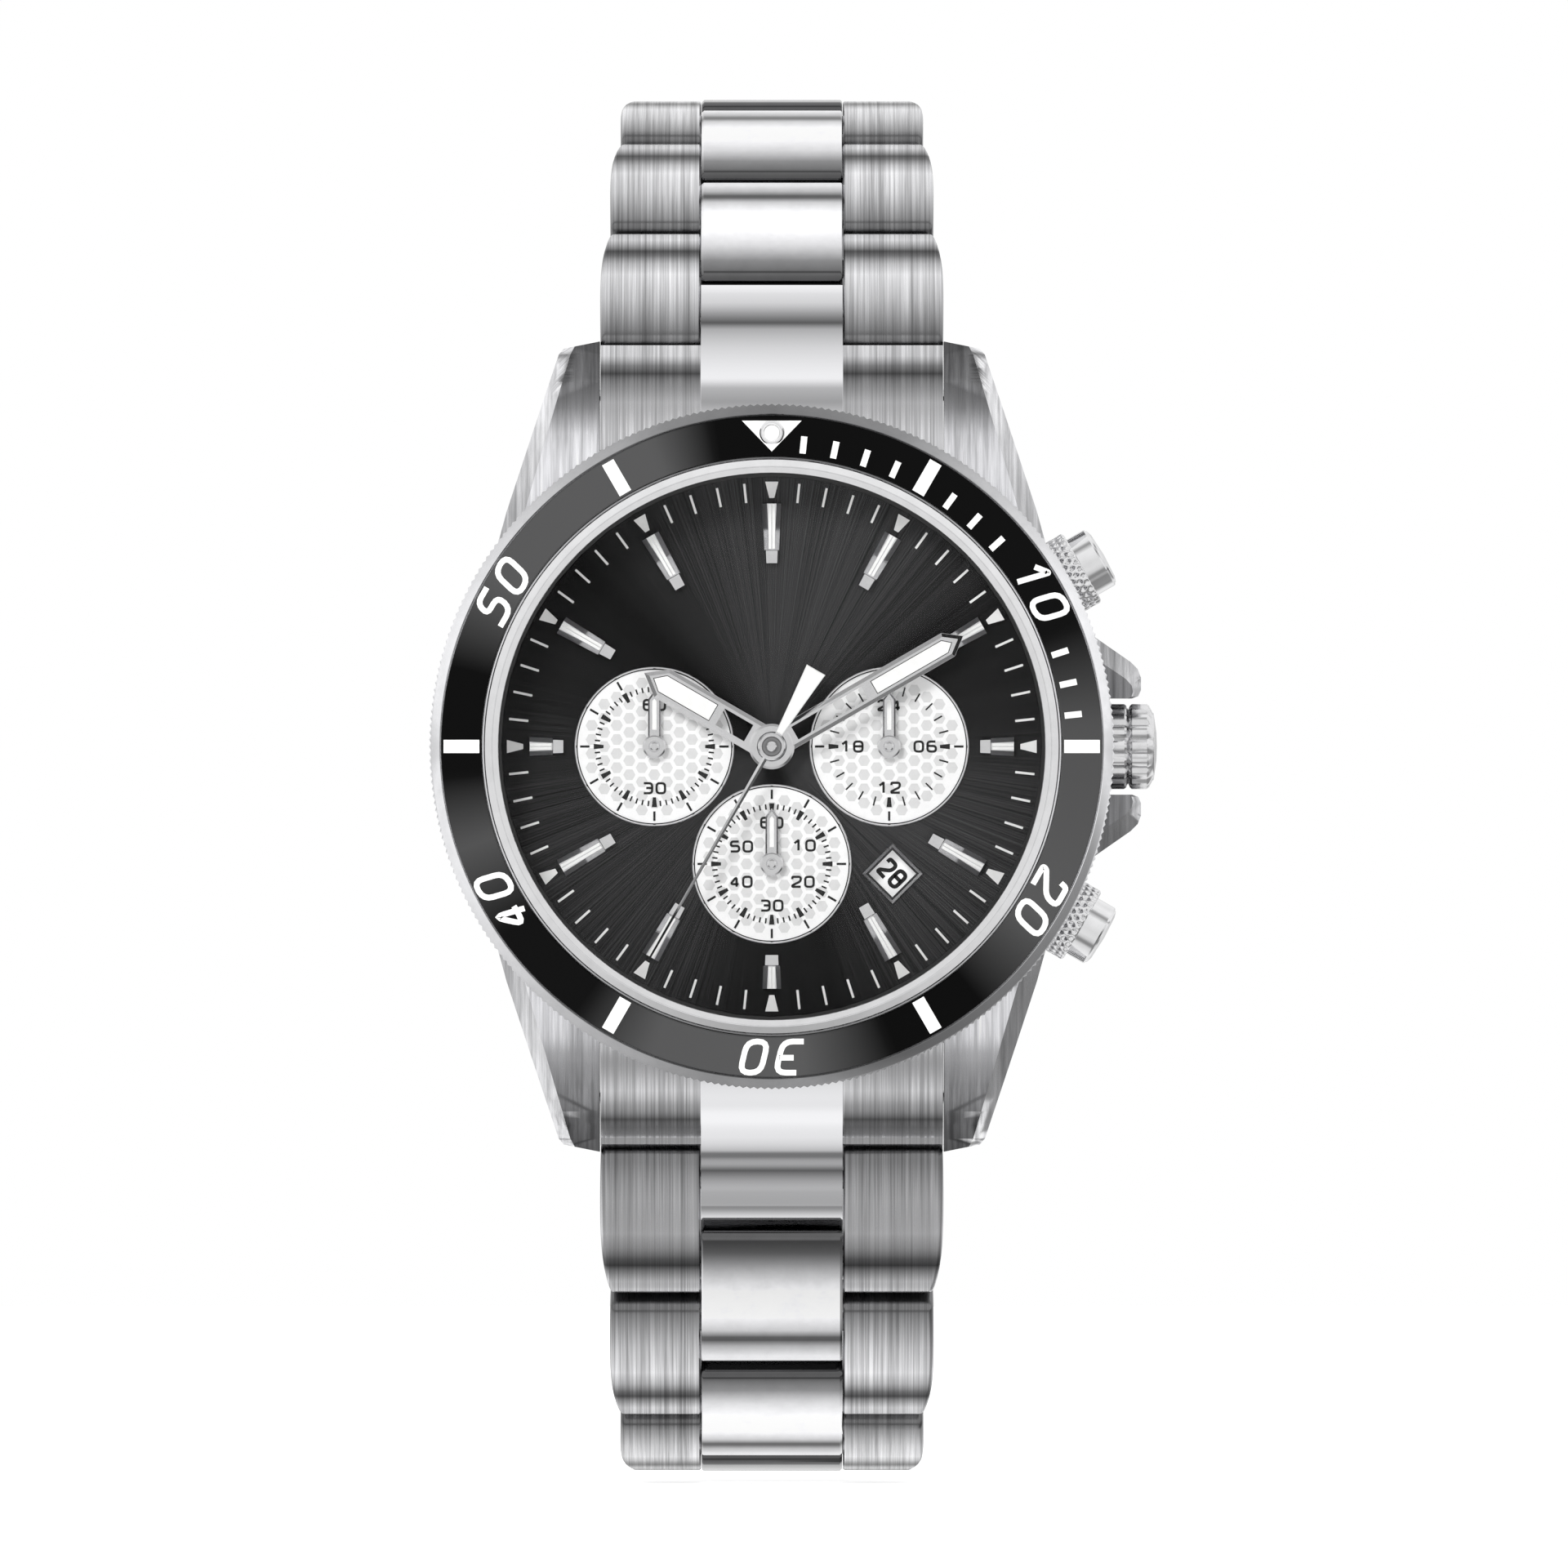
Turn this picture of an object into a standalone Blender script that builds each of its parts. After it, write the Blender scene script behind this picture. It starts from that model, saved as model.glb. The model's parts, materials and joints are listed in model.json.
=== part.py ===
"""Steel sports chronograph wristwatch on a three-row link bracelet with a folding clasp.

World frame: +X points to 3 o'clock, +Z to 12 o'clock, and the dial faces -Y.
The origin is the centre of the case back's outer flat face. Sizes below are millimetres.
"""
import math

import bmesh
import bpy
from mathutils import Matrix, Vector

MM = 0.001

# case, measured as radius from the dial axis and height above the case back
CASE_R = 20.75
CASE_BOTTOM = 1.0
CASE_TOP = 8.3
CAVITY_R = 17.6
DIAL_SEAT = 7.5
REHAUT_R = 17.3
CRYSTAL_SEAT = 9.4
CRYSTAL_SEAT_R = 17.5
TURRET_R = 18.25
TURRET_TOP = 11.3
SIDE_AXIS = 4.6
LUG_HALF_GAP = 11.0
LUG_NOTCH_R = 19.0
LUG_TIP = [(11.0, 25.95), (13.26, 25.48), (13.62, 25.06)]
LUG_TANGENT_DEG = 18.16
LUG_SIDE = [
    (-9.0, 8.3), (15.0, 8.1), (18.5, 7.5), (21.0, 6.6), (23.3, 5.3), (25.0, 4.1), (26.0, 3.3),
    (26.0, 0.2), (25.4, -0.7), (24.2, -0.8), (22.0, 0.2), (19.5, 1.0), (-9.0, 1.0),
]
GUARD = [(18.0, 3.07), (23.1, 3.07), (23.45, 3.25), (23.56, 3.6), (23.56, 4.5), (23.3, 5.1), (22.9, 5.5),
         (20.6, 7.0), (18.0, 7.8)]
GUARD_BOTTOM = 1.7
GUARD_TOP = 7.6
LUG_BAR_Z = 22.4
LUG_BAR_H = 2.9
LUG_BAR_R = 0.75
LUG_BAR_HALF = 11.6
FIT = 0.1

# turning bezel
EDGE_TEETH = 48
EDGE_DEPTH = 0.2

# dial side
DIAL_R = 17.4
DIAL_BOTTOM = 7.0
DIAL_TOP = 7.4
SUBDIAL_R = 5.04
SUBDIAL_OFFSET = 7.49
SUBDIAL_DEPTH = 0.12
DATE_X = 7.7
DATE_Z = -8.11
DATE_HALF_DIAGONAL = 1.5
HOUR_LEVEL = 8.1
MINUTE_LEVEL = 8.6
SWEEP_LEVEL = 9.05
HAND_T = 0.16
HOUR_LENGTH = 9.4
HOUR_HALF_W = 1.03
HOUR_WINDOW = (1.7, 3.8, 0.6)
HOUR_DEG = 300
MINUTE_LENGTH = 14.1
MINUTE_HALF_W = 0.86
MINUTE_WINDOW = (1.7, 6.85, 0.46)
MINUTE_DEG = 60
SWEEP_LENGTH = 15.7
SWEEP_DEG = 210
SMALL_HAND_LEVEL = 7.62
MOTION_Z = 3.0
DATE_TEETH = 31

# side controls, measured along their own axes from the dial axis
PUSHER_DEG = 30.0
COLLAR_R = 2.52
COLLAR_FACE = 22.9
CAP_R = 2.03
CAP_FACE = 24.5
CROWN_R = 2.72
CROWN_FLUTES = 18
KNURLS = 24

# bracelet, drawn in the Y-Z plane; directions turn from the lug line towards the wrist side
HALF_PITCH = 5.1
LINK_OVERHANG = 2.4
LINK_HALF_T = 1.5
CENTRE_PROUD = 0.25
CENTRE_HALF_W = 4.45
OUTER_INNER_X = 4.6
PIN_R = 0.6
BORE_R = 0.7
SPRING_BAR_DEPTH = 1.3
PAIR_WIDTHS = [22.0, 20.8, 19.55, 18.4, 18.0, 18.0]
START_12 = (26.95, -0.6)
START_6 = (27.7, -1.0)
END_LINK_DEG_12 = 38.0
END_LINK_DEG_6 = 15.0
DIRECTIONS_12 = [44, 50, 56, 64, 76, 92, 112, 131, 150, 167, 180]
DIRECTIONS_6 = [20, 31, 43, 57, 72, 88, 105, 123, 142, 160, 174]
END_LINK_TOP = [(18.0, 8.05), (19.5, 7.75), (21.0, 7.15), (22.5, 6.3), (23.8, 5.35)]
END_LINK_UNDER = [(22.6, 1.15), (21.0, 1.3), (18.0, 1.35)]

# clasp, drawn along the line that joins the two last bracelet pins
CLASP_BULGE = 0.9
CLASP_HALF_W = 9.0
TONGUE_HALF_W = 4.4
COVER_PIVOT_U = 41.6
COVER_PIVOT_N = -0.3
FOLD_PIVOT_U = 10.5
FOLD_PIVOT_N = -1.15
COVER_END_U = 42.4
LATCH_PIVOT_U = 33.5
LATCH_PIVOT_N = 0.2
BLADE_HALF_W = 6.0
KNUCKLE_R = 1.0
KNUCKLE_HALF_W = 2.5
CLASP_PIN_R = 0.5
CLASP_BORE_R = 0.6

STEEL = ((0.62, 0.63, 0.64), 0.28, 1.0)
POLISHED = ((0.78, 0.79, 0.8), 0.12, 1.0)
BRASS = ((0.72, 0.56, 0.3), 0.35, 1.0)
BLACK_GLOSS = ((0.012, 0.012, 0.014), 0.12, 0.0)
DIAL_BLACK = ((0.02, 0.02, 0.022), 0.35, 0.4)
GLASS = ((0.93, 0.96, 0.97), 0.03, 0.0)
RUBBER = ((0.03, 0.03, 0.03), 0.75, 0.0)
PLASTIC = ((0.75, 0.75, 0.72), 0.55, 0.0)
PAPER_WHITE = ((0.9, 0.9, 0.88), 0.5, 0.0)

DIAL_FRAME = Matrix(((1, 0, 0, 0), (0, 0, -1, 0), (0, 1, 0, 0), (0, 0, 0, 1)))


# ---------------------------------------------------------------- mesh helpers
def new_object(verts, faces):
    """A closed mesh object, in millimetres, with its faces turned outwards."""
    mesh = bpy.data.meshes.new("piece")
    mesh.from_pydata([tuple(v) for v in verts], [], faces)
    bm = bmesh.new()
    bm.from_mesh(mesh)
    bmesh.ops.remove_doubles(bm, verts=bm.verts, dist=1e-5)
    bmesh.ops.recalc_face_normals(bm, faces=bm.faces)
    bm.to_mesh(mesh)
    bm.free()
    obj = bpy.data.objects.new("piece", mesh)
    bpy.context.scene.collection.objects.link(obj)
    return obj


def place(obj, matrix):
    """Move the mesh itself into another frame."""
    obj.data.transform(matrix)
    if matrix.determinant() < 0:
        obj.data.flip_normals()
    return obj


def loft(sections):
    """Closed solid through rings of equal point counts, with flat ends."""
    count = len(sections[0])
    verts = [p for ring in sections for p in ring]
    faces = [list(range(count))[::-1]]
    for k in range(len(sections) - 1):
        a, b = k * count, (k + 1) * count
        for i in range(count):
            j = (i + 1) % count
            faces.append((a + i, a + j, b + j, b + i))
    faces.append([(len(sections) - 1) * count + i for i in range(count)])
    return new_object(verts, faces)


def prism(outline, low, high):
    """Extrude a plane outline along local Z."""
    return loft([[(x, y, low) for x, y in outline], [(x, y, high) for x, y in outline]])


def circle(radius, count, centre=(0.0, 0.0), start=0.0):
    """Points round a circle."""
    return [
        (centre[0] + radius * math.cos(start + math.tau * i / count),
         centre[1] + radius * math.sin(start + math.tau * i / count))
        for i in range(count)
    ]


def disc(radius, low, high, centre=(0.0, 0.0), count=32):
    """A round bar along local Z."""
    return prism(circle(radius, count, centre), low, high)


def lathe(profile, count=48):
    """Turn a closed outline round local Z. A third value on a point is the depth of teeth cut there."""
    verts, rows, faces = [], [], []
    for radius, height, *teeth in profile:
        if radius < 1e-6:
            rows.append([len(verts)] * count)
            verts.append((0.0, 0.0, height))
            continue
        rows.append(list(range(len(verts), len(verts) + count)))
        deep = radius - (teeth[0] if teeth else 0.0)
        for i in range(count):
            a = math.tau * i / count
            r = deep if i % 2 else radius
            verts.append((r * math.cos(a), r * math.sin(a), height))
    for k, row in enumerate(rows):
        after = rows[(k + 1) % len(rows)]
        for i in range(count):
            j = (i + 1) % count
            ring = []
            for v in (row[i], row[j], after[j], after[i]):
                if v not in ring:
                    ring.append(v)
            if len(ring) > 2:
                faces.append(ring)
    return new_object(verts, faces)


def box(low, high):
    """A block between two corners."""
    (x0, y0, z0), (x1, y1, z1) = low, high
    return prism([(x0, y0), (x1, y0), (x1, y1), (x0, y1)], z0, z1)


def combine(obj, other, operation):
    """Join or cut two solids, keeping the result as plain mesh."""
    mod = obj.modifiers.new("combine", "BOOLEAN")
    mod.object = other
    mod.operation = operation
    mod.solver = "EXACT"
    graph = bpy.context.evaluated_depsgraph_get()
    mesh = bpy.data.meshes.new_from_object(obj.evaluated_get(graph))
    obj.modifiers.clear()
    obj.data = mesh
    bpy.data.objects.remove(other, do_unlink=True)
    return obj


def add(obj, *others):
    """Union of solids."""
    for other in others:
        combine(obj, other, "UNION")
    return obj


def cut(obj, *others):
    """Remove solids from a solid."""
    for other in others:
        combine(obj, other, "DIFFERENCE")
    return obj


def node(obj, name, look, pivot=(0.0, 0.0, 0.0), sharp_deg=32.0):
    """Give a finished solid its name, its material and its origin, and turn it into metres."""
    obj.name = name
    obj.data.name = name
    obj.data.transform(Matrix.Scale(MM, 4) @ Matrix.Translation(-Vector(pivot)))
    obj.location = Vector(pivot) * MM
    colour, roughness, metallic = look
    material = bpy.data.materials.new(name)
    material.use_nodes = True
    shader = material.node_tree.nodes["Principled BSDF"]
    shader.inputs["Base Color"].default_value = (*colour, 1.0)
    shader.inputs["Roughness"].default_value = roughness
    shader.inputs["Metallic"].default_value = metallic
    material.diffuse_color = (*colour, 1.0)
    obj.data.materials.clear()
    obj.data.materials.append(material)
    obj.data.shade_smooth()
    obj.data.set_sharp_from_angle(angle=math.radians(sharp_deg))
    return obj


def radial_frame(degrees):
    """Frame of a side control: local Z runs outwards from the dial axis at the controls' height."""
    a = math.radians(degrees)
    outward = Vector((math.cos(a), 0.0, math.sin(a)))
    along = Vector((-math.sin(a), 0.0, math.cos(a)))
    up = Vector((0.0, -1.0, 0.0))
    frame = Matrix((along, up, outward)).transposed().to_4x4()
    return Matrix.Translation((0.0, -SIDE_AXIS, 0.0)) @ frame


def point_on(frame, distance):
    """A point on a side control's axis."""
    return frame @ Vector((0.0, 0.0, distance))


# ---------------------------------------------------------------- bracelet path
def path(start, directions, side):
    """Pin positions (y, z) and the frames of the pieces between them."""
    z, y = start
    pins = [Vector((0.0, y, side * z))]
    frames = []
    for degrees in directions:
        frames.append(link_frame(pins[-1], degrees, side))
        pins.append(frames[-1] @ Vector((HALF_PITCH, 0.0, 0.0)))
    return pins, frames


def link_frame(pin, degrees, side):
    """Local X along the bracelet, local Y outwards from the wrist, local Z across the bracelet."""
    a = math.radians(degrees)
    along = Vector((0.0, math.sin(a), side * math.cos(a)))
    outward = Vector((0.0, -math.cos(a), side * math.sin(a)))
    across = along.cross(outward)
    return Matrix.Translation(pin) @ Matrix((along, outward, across)).transposed().to_4x4()


def link_outline(top, grow=0.0, last=HALF_PITCH + LINK_OVERHANG):
    """Side outline of a link: gently domed outside, ends relieved towards the wrist."""
    first = -LINK_OVERHANG
    low = -LINK_HALF_T
    middle = (first + last) / 2
    return [
        (first + 1.35 - grow, low - grow), (last - 1.35 + grow, low - grow),
        (last - 0.55 + grow, low + 0.55 - grow), (last - 0.08 + grow, 0.0),
        (last + grow, top - 0.6 + grow), (last - 0.3 + grow, top - 0.22 + grow),
        (last - 1.8, top - 0.04 + grow), (middle, top + grow), (first + 1.8, top - 0.04 + grow),
        (first + 0.3 - grow, top - 0.22 + grow), (first - grow, top - 0.6 + grow),
        (first + 0.08 - grow, 0.0), (first + 0.55 - grow, low + 0.55 - grow),
    ]


def outer_block(inner_x, outer_x, sign):
    """One brushed outer link block with its outer side chamfered."""
    full = link_outline(LINK_HALF_T)
    small = link_outline(LINK_HALF_T, grow=-0.28)
    sections = [(inner_x, full), (outer_x - 0.32, full), (outer_x, small)]
    return loft([[(s, n, sign * x) for s, n in ring] for x, ring in sections])


def outer_pair(width, with_last_pin):
    """Two outer blocks held together by the pins that run through the centre pieces."""
    pair, other = (outer_block(OUTER_INNER_X, width / 2, sign) for sign in (1, -1))
    if not with_last_pin:
        for block in (pair, other):
            reach = OUTER_INNER_X + SPRING_BAR_DEPTH
            cut(block, disc(BORE_R, -reach, reach, (HALF_PITCH, 0.0), 12))
    reach = OUTER_INNER_X + 2.5
    for s in [0.0] + ([HALF_PITCH] if with_last_pin else []):
        add(pair, disc(PIN_R, -reach, reach, (s, 0.0), 12))
    return add(pair, other)


def centre_piece():
    """One polished centre link with its two pin bores."""
    piece = prism(link_outline(LINK_HALF_T + CENTRE_PROUD), -CENTRE_HALF_W, CENTRE_HALF_W)
    reach = CENTRE_HALF_W + 1.0
    return cut(piece, *[disc(BORE_R, -reach, reach, (s, 0.0), 12) for s in (0.0, HALF_PITCH)])


def build_bracelet_side(tag, start, directions, side):
    """All loose links of one half, from the end link to the clasp."""
    pins, frames = path(start, directions, side)
    for i, frame in enumerate(frames):
        if i % 2 == 0:
            piece = outer_pair(PAIR_WIDTHS[i // 2], i + 1 < len(frames) or tag == "12")
            name = f"outer_link_{tag}_{i // 2 + 1}"
        else:
            piece = centre_piece()
            name = f"centre_link_{tag}_{i // 2 + 1}"
        look = POLISHED if i % 2 else STEEL
        node(place(piece, frame), name, look, pins[i])
    return pins


def build_end_link(tag, start, degrees, side):
    """Solid end link that fills the space between the lugs and carries the first pivot."""
    frame = link_frame(Vector((0.0, start[1], side * start[0])), degrees, side)
    flat = DIAL_FRAME.inverted()

    def shown(s, n):
        p = flat @ (frame @ Vector((s, n, 0.0)))
        return (side * p.y, p.z)

    edge = -HALF_PITCH / 2 - 0.05
    outers = END_LINK_TOP + [
        shown(edge - 0.5, LINK_HALF_T - 0.02), shown(edge, LINK_HALF_T - 0.3),
        shown(edge, -LINK_HALF_T + 0.5), shown(edge - 0.6, -LINK_HALF_T),
    ] + END_LINK_UNDER
    tip = LINK_OVERHANG
    top = LINK_HALF_T + CENTRE_PROUD
    raised = [(z, h + CENTRE_PROUD * 0.8) for z, h in END_LINK_TOP]
    centre = raised + [
        shown(edge, top), shown(tip - 1.0, top - 0.03), shown(tip - 0.3, top - 0.22), shown(tip, top - 0.6),
        shown(tip - 0.08, 0.0), shown(tip - 0.55, -LINK_HALF_T + 0.55), shown(tip - 1.35, -LINK_HALF_T),
        shown(edge - 0.6, -LINK_HALF_T),
    ] + END_LINK_UNDER
    side_frame = Matrix(((0, 0, 1, 0), (0, -1, 0, 0), (side, 0, 0, 0), (0, 0, 0, 1)))
    half = LUG_HALF_GAP - FIT
    piece = place(prism(outers, -half, half), side_frame)
    add(piece, place(prism(centre, -CENTRE_HALF_W, CENTRE_HALF_W), side_frame))
    cut(piece, place(disc(LUG_NOTCH_R + 0.25, -5.0, 12.0, count=64), DIAL_FRAME))
    bore = disc(LUG_BAR_R + FIT, -13.0, 13.0, (LUG_BAR_Z, LUG_BAR_H), 14)
    cut(piece, place(bore, side_frame))
    cut(piece, place(disc(BORE_R, -6.0, 6.0, (0.0, 0.0), 16), frame))
    node(piece, f"end_link_{tag}", STEEL)
    bar = disc(LUG_BAR_R, -LUG_BAR_HALF + 1.0, LUG_BAR_HALF - 1.0, (LUG_BAR_Z, LUG_BAR_H), 12)
    tips = disc(0.4, -LUG_BAR_HALF, LUG_BAR_HALF, (LUG_BAR_Z, LUG_BAR_H), 8)
    bar = place(add(bar, tips), side_frame)
    node(bar, f"lug_bar_{tag}", POLISHED)


# ---------------------------------------------------------------- case
def case_plan():
    """Outline of the case band with its four lugs, seen from the dial side."""
    corner = math.asin(LUG_HALF_GAP / LUG_NOTCH_R)
    notch = [
        (LUG_NOTCH_R * math.sin(corner * k / 8), LUG_NOTCH_R * math.cos(corner * k / 8))
        for k in range(-8, 9)
    ]
    start = math.radians(LUG_TANGENT_DEG)
    flank = [
        (CASE_R * math.cos(start * k / 4), CASE_R * math.sin(start * k / 4))
        for k in range(4, -5, -1)
    ]
    right = LUG_TIP + flank + [(x, -z) for x, z in reversed(LUG_TIP)]
    left = [(-x, z) for x, z in reversed(right)]
    return notch + right + [(x, -z) for x, z in reversed(notch)] + left


def build_case():
    """Case band with lugs, crown guards and the raised crystal seat."""
    case = place(prism(case_plan(), -1.5, CASE_TOP), DIAL_FRAME)
    side_frame = Matrix(((0, 0, 1, 0), (0, -1, 0, 0), (1, 0, 0, 0), (0, 0, 0, 1)))
    mirrored = [(-z, h) for z, h in reversed(LUG_SIDE) if z > 0]
    both = [p for p in LUG_SIDE if p[0] > 0] + mirrored
    combine(case, place(prism(both, -22.0, 22.0), side_frame), "INTERSECT")
    turret = lathe([(16.5, 5.0), (TURRET_R, 5.0), (TURRET_R, TURRET_TOP - 0.25),
                    (TURRET_R - 0.25, TURRET_TOP), (16.5, TURRET_TOP)], 48)
    add(case, place(turret, DIAL_FRAME))
    for flip in (1, -1):
        outline = [(x, flip * z) for x, z in GUARD]
        low = [(x - 0.5 * (x > 20.0), z) for x, z in outline]
        rings = [(GUARD_BOTTOM, low), (GUARD_BOTTOM + 0.5, outline), (GUARD_TOP - 0.7, outline),
                 (GUARD_TOP, low)]
        guard = loft([[(x, z, h) for x, z in ring] for h, ring in rings])
        add(case, place(guard, DIAL_FRAME))
    bore = lathe([(0, -3.0), (CAVITY_R, -3.0), (CAVITY_R, DIAL_SEAT), (REHAUT_R, DIAL_SEAT),
                  (REHAUT_R, CRYSTAL_SEAT), (CRYSTAL_SEAT_R, CRYSTAL_SEAT), (CRYSTAL_SEAT_R, 13.0),
                  (0, 13.0)], 48)
    groove_top = CASE_BOTTOM + 0.35
    groove = lathe([(17.9, 0.0), (18.35, 0.0), (18.35, groove_top), (17.9, groove_top)], 48)
    cut(case, place(bore, DIAL_FRAME), place(groove, DIAL_FRAME))
    for degrees, radius in ((0.0, 1.45), (PUSHER_DEG, 1.35), (-PUSHER_DEG, 1.35)):
        cut(case, place(disc(radius, 15.0, 26.0, count=16), radial_frame(degrees)))
    for degrees in (PUSHER_DEG, -PUSHER_DEG):
        cut(case, place(disc(COLLAR_R + 0.25, 21.2, 27.0, count=24), radial_frame(degrees)))
    for side in (1, -1):
        reach = LUG_BAR_HALF + 0.3
        hole = disc(LUG_BAR_R + FIT, -reach, reach, (side * LUG_BAR_Z, LUG_BAR_H), 16)
        cut(case, place(hole, side_frame))
    node(case, "mid_case", STEEL, sharp_deg=25.0)


def build_back():
    """Screwed case back with its key notches, and the ring gasket under it."""
    back = lathe([(0, 0), (17.6, 0), (18.5, 0.35), (18.5, 0.85), (17.3, 0.85), (17.3, 2.1), (15.6, 2.1),
                  (15.6, 1.4), (0, 1.4)], 48)
    for k in range(6):
        a = math.tau * k / 6
        notch = box((16.6, -0.9, -1.0), (17.3, 0.9, 0.35))
        cut(back, place(notch, Matrix.Rotation(a, 4, "Z")))
    node(place(back, DIAL_FRAME), "case_back", STEEL)
    gasket = lathe([(17.95, 0.92), (18.3, 0.92), (18.3, 1.3), (17.95, 1.3)], 48)
    node(place(gasket, DIAL_FRAME), "case_back_gasket", RUBBER)


def build_bezel():
    """Turning bezel with a coin edge, its insert with the luminous pip, and the crystal."""
    ring = lathe([(18.35, 8.45), (21.3, 8.45), (21.84, 8.8, EDGE_DEPTH), (21.84, 10.35, EDGE_DEPTH),
                  (21.2, 10.95), (21.12, 10.5), (18.45, 10.95), (18.35, 10.95)], EDGE_TEETH * 2)
    node(place(ring, DIAL_FRAME), "bezel_ring", POLISHED)
    insert = lathe([(18.5, 11.05), (21.06, 10.6), (21.06, 10.98), (18.5, 11.55)], 48)
    pip = lathe([(0, 11.2), (0.66, 11.2), (0.66, 11.36), (0.48, 11.52), (0, 11.58)], 12)
    add(insert, place(pip, Matrix.Translation((0.0, 19.97, 0.0))))
    node(place(insert, DIAL_FRAME), "bezel_insert", BLACK_GLOSS)
    seat = CRYSTAL_SEAT + 0.05
    crystal = lathe([(0, seat), (17.2, seat), (17.2, 11.75), (16.9, 12.05), (0, 12.05)], 48)
    node(place(crystal, DIAL_FRAME), "crystal", GLASS)
    gasket = lathe([(17.24, seat), (17.46, seat), (17.46, 11.35), (17.24, 11.35)], 48)
    node(place(gasket, DIAL_FRAME), "crystal_gasket", PLASTIC)


# ---------------------------------------------------------------- dial and hands
def subdial_centres():
    """Sub-dial centres (x, z): left, right and lower."""
    return [(-SUBDIAL_OFFSET, 0.0), (SUBDIAL_OFFSET, 0.0), (0.0, -SUBDIAL_OFFSET)]


def build_dial():
    """Dial plate with three sunk sub-dials and the date window."""
    dial = disc(DIAL_R, DIAL_BOTTOM, DIAL_TOP, count=48)
    for x, z in subdial_centres():
        cut(dial, disc(SUBDIAL_R, DIAL_TOP - SUBDIAL_DEPTH, DIAL_TOP + 1.0, (x, z), 28))
        cut(dial, disc(0.35, DIAL_BOTTOM - 1.0, DIAL_TOP + 1.0, (x, z), 12))
    window = circle(DATE_HALF_DIAGONAL, 4, (DATE_X, DATE_Z))
    cut(dial, prism(window, DIAL_BOTTOM - 1.0, DIAL_TOP + 1.0))
    cut(dial, disc(0.95, DIAL_BOTTOM - 1.0, DIAL_TOP + 1.0, count=20))
    node(place(dial, DIAL_FRAME), "dial", DIAL_BLACK)


def gear(teeth, pitch_r, module, low, high, phase=0.0):
    """A toothed wheel with freely spaced teeth along local Z."""
    step = math.tau / teeth
    root, tip = pitch_r - 1.25 * module, pitch_r + 0.75 * module
    outline = []
    for i in range(teeth):
        for share, radius in ((-0.27, root), (-0.1, tip), (0.1, tip), (0.27, root)):
            a = (i + share) * step + phase
            outline.append((radius * math.cos(a), radius * math.sin(a)))
    return prism(outline, low, high)


def hand_outline(length, half_width, tip_length, tail=0.0):
    """A pointed baton along local +Y."""
    return [(-half_width, tail), (half_width, tail), (half_width, length - tip_length), (0.0, length),
            (-half_width, length - tip_length)]


def main_hand(length, half_width, level, window, hub_r):
    """Skeleton hand: pointed baton with an open inner part and a round hub."""
    hand = prism(hand_outline(length, half_width, half_width * 1.3), level, level + HAND_T)
    near, far, half = window
    cut(hand, box((-half, near, level - 1.0), (half, far, level + 1.0)))
    return add(hand, disc(hub_r, level, level + HAND_T + 0.02, count=20))


def turned(obj, degrees):
    """Turn a hand clockwise, seen from the dial side, from 12 o'clock."""
    return place(obj, Matrix.Rotation(-math.radians(degrees), 4, "Z"))


def build_hands():
    """Hour, minute and sweep hands with their arbors, the motion work and the three small hands."""
    hour = turned(main_hand(HOUR_LENGTH, HOUR_HALF_W, HOUR_LEVEL, HOUR_WINDOW, 1.4), HOUR_DEG)
    add(hour, disc(0.75, 6.55, HOUR_LEVEL + 0.05, count=16), gear(32, 2.4, 0.15, 6.55, 6.78, math.tau / 64))
    cut(hour, disc(0.53, 6.0, 9.0, count=16))
    node(place(hour, DIAL_FRAME), "hour_hand", POLISHED)

    minute = turned(main_hand(MINUTE_LENGTH, MINUTE_HALF_W, MINUTE_LEVEL, MINUTE_WINDOW, 1.25), MINUTE_DEG)
    add(minute, disc(0.46, 6.12, MINUTE_LEVEL + 0.05, count=16), gear(8, 0.75, 0.1875, 6.12, 6.4))
    cut(minute, disc(0.22, 5.9, 9.2, count=12))
    node(place(minute, DIAL_FRAME), "minute_hand", POLISHED)

    centre = Matrix.Translation((0.0, MOTION_Z, 0.0))
    wheel = gear(24, 2.25, 0.1875, 6.12, 6.4, math.tau / 48)
    add(wheel, gear(8, 0.6, 0.15, 6.38, 6.78))
    cut(wheel, disc(0.27, 5.9, 7.2, count=12))
    wheel = place(wheel, centre)
    node(place(wheel, DIAL_FRAME), "minute_wheel", BRASS, (0.0, -6.12, MOTION_Z))

    right = [(0.05, SWEEP_LENGTH), (0.15, 0.0), (0.24, -1.0), (0.65, -5.6)]
    outline = right + [(-x, y) for x, y in reversed(right)]
    sweep = turned(prism(outline, SWEEP_LEVEL, SWEEP_LEVEL + HAND_T - 0.04), SWEEP_DEG)
    add(sweep, disc(0.85, SWEEP_LEVEL, SWEEP_LEVEL + 0.18, count=24))
    add(sweep, disc(0.15, 5.1, SWEEP_LEVEL + 0.1, count=12))
    node(place(sweep, DIAL_FRAME), "chrono_seconds_hand", POLISHED)

    names = ["chrono_minutes_hand", "hand_24_hour", "small_seconds_hand"]
    for name, (x, z) in zip(names, subdial_centres()):
        low = SMALL_HAND_LEVEL
        small = prism(hand_outline(3.55, 0.4, 0.5, -0.2), low, low + 0.12)
        add(small, disc(0.76, low, low + 0.15, count=16), disc(0.25, 5.1, low + 0.05, count=10))
        place(small, Matrix.Translation((x, z, 0.0)))
        node(place(small, DIAL_FRAME), name, POLISHED, (x, -low, z))


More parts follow.
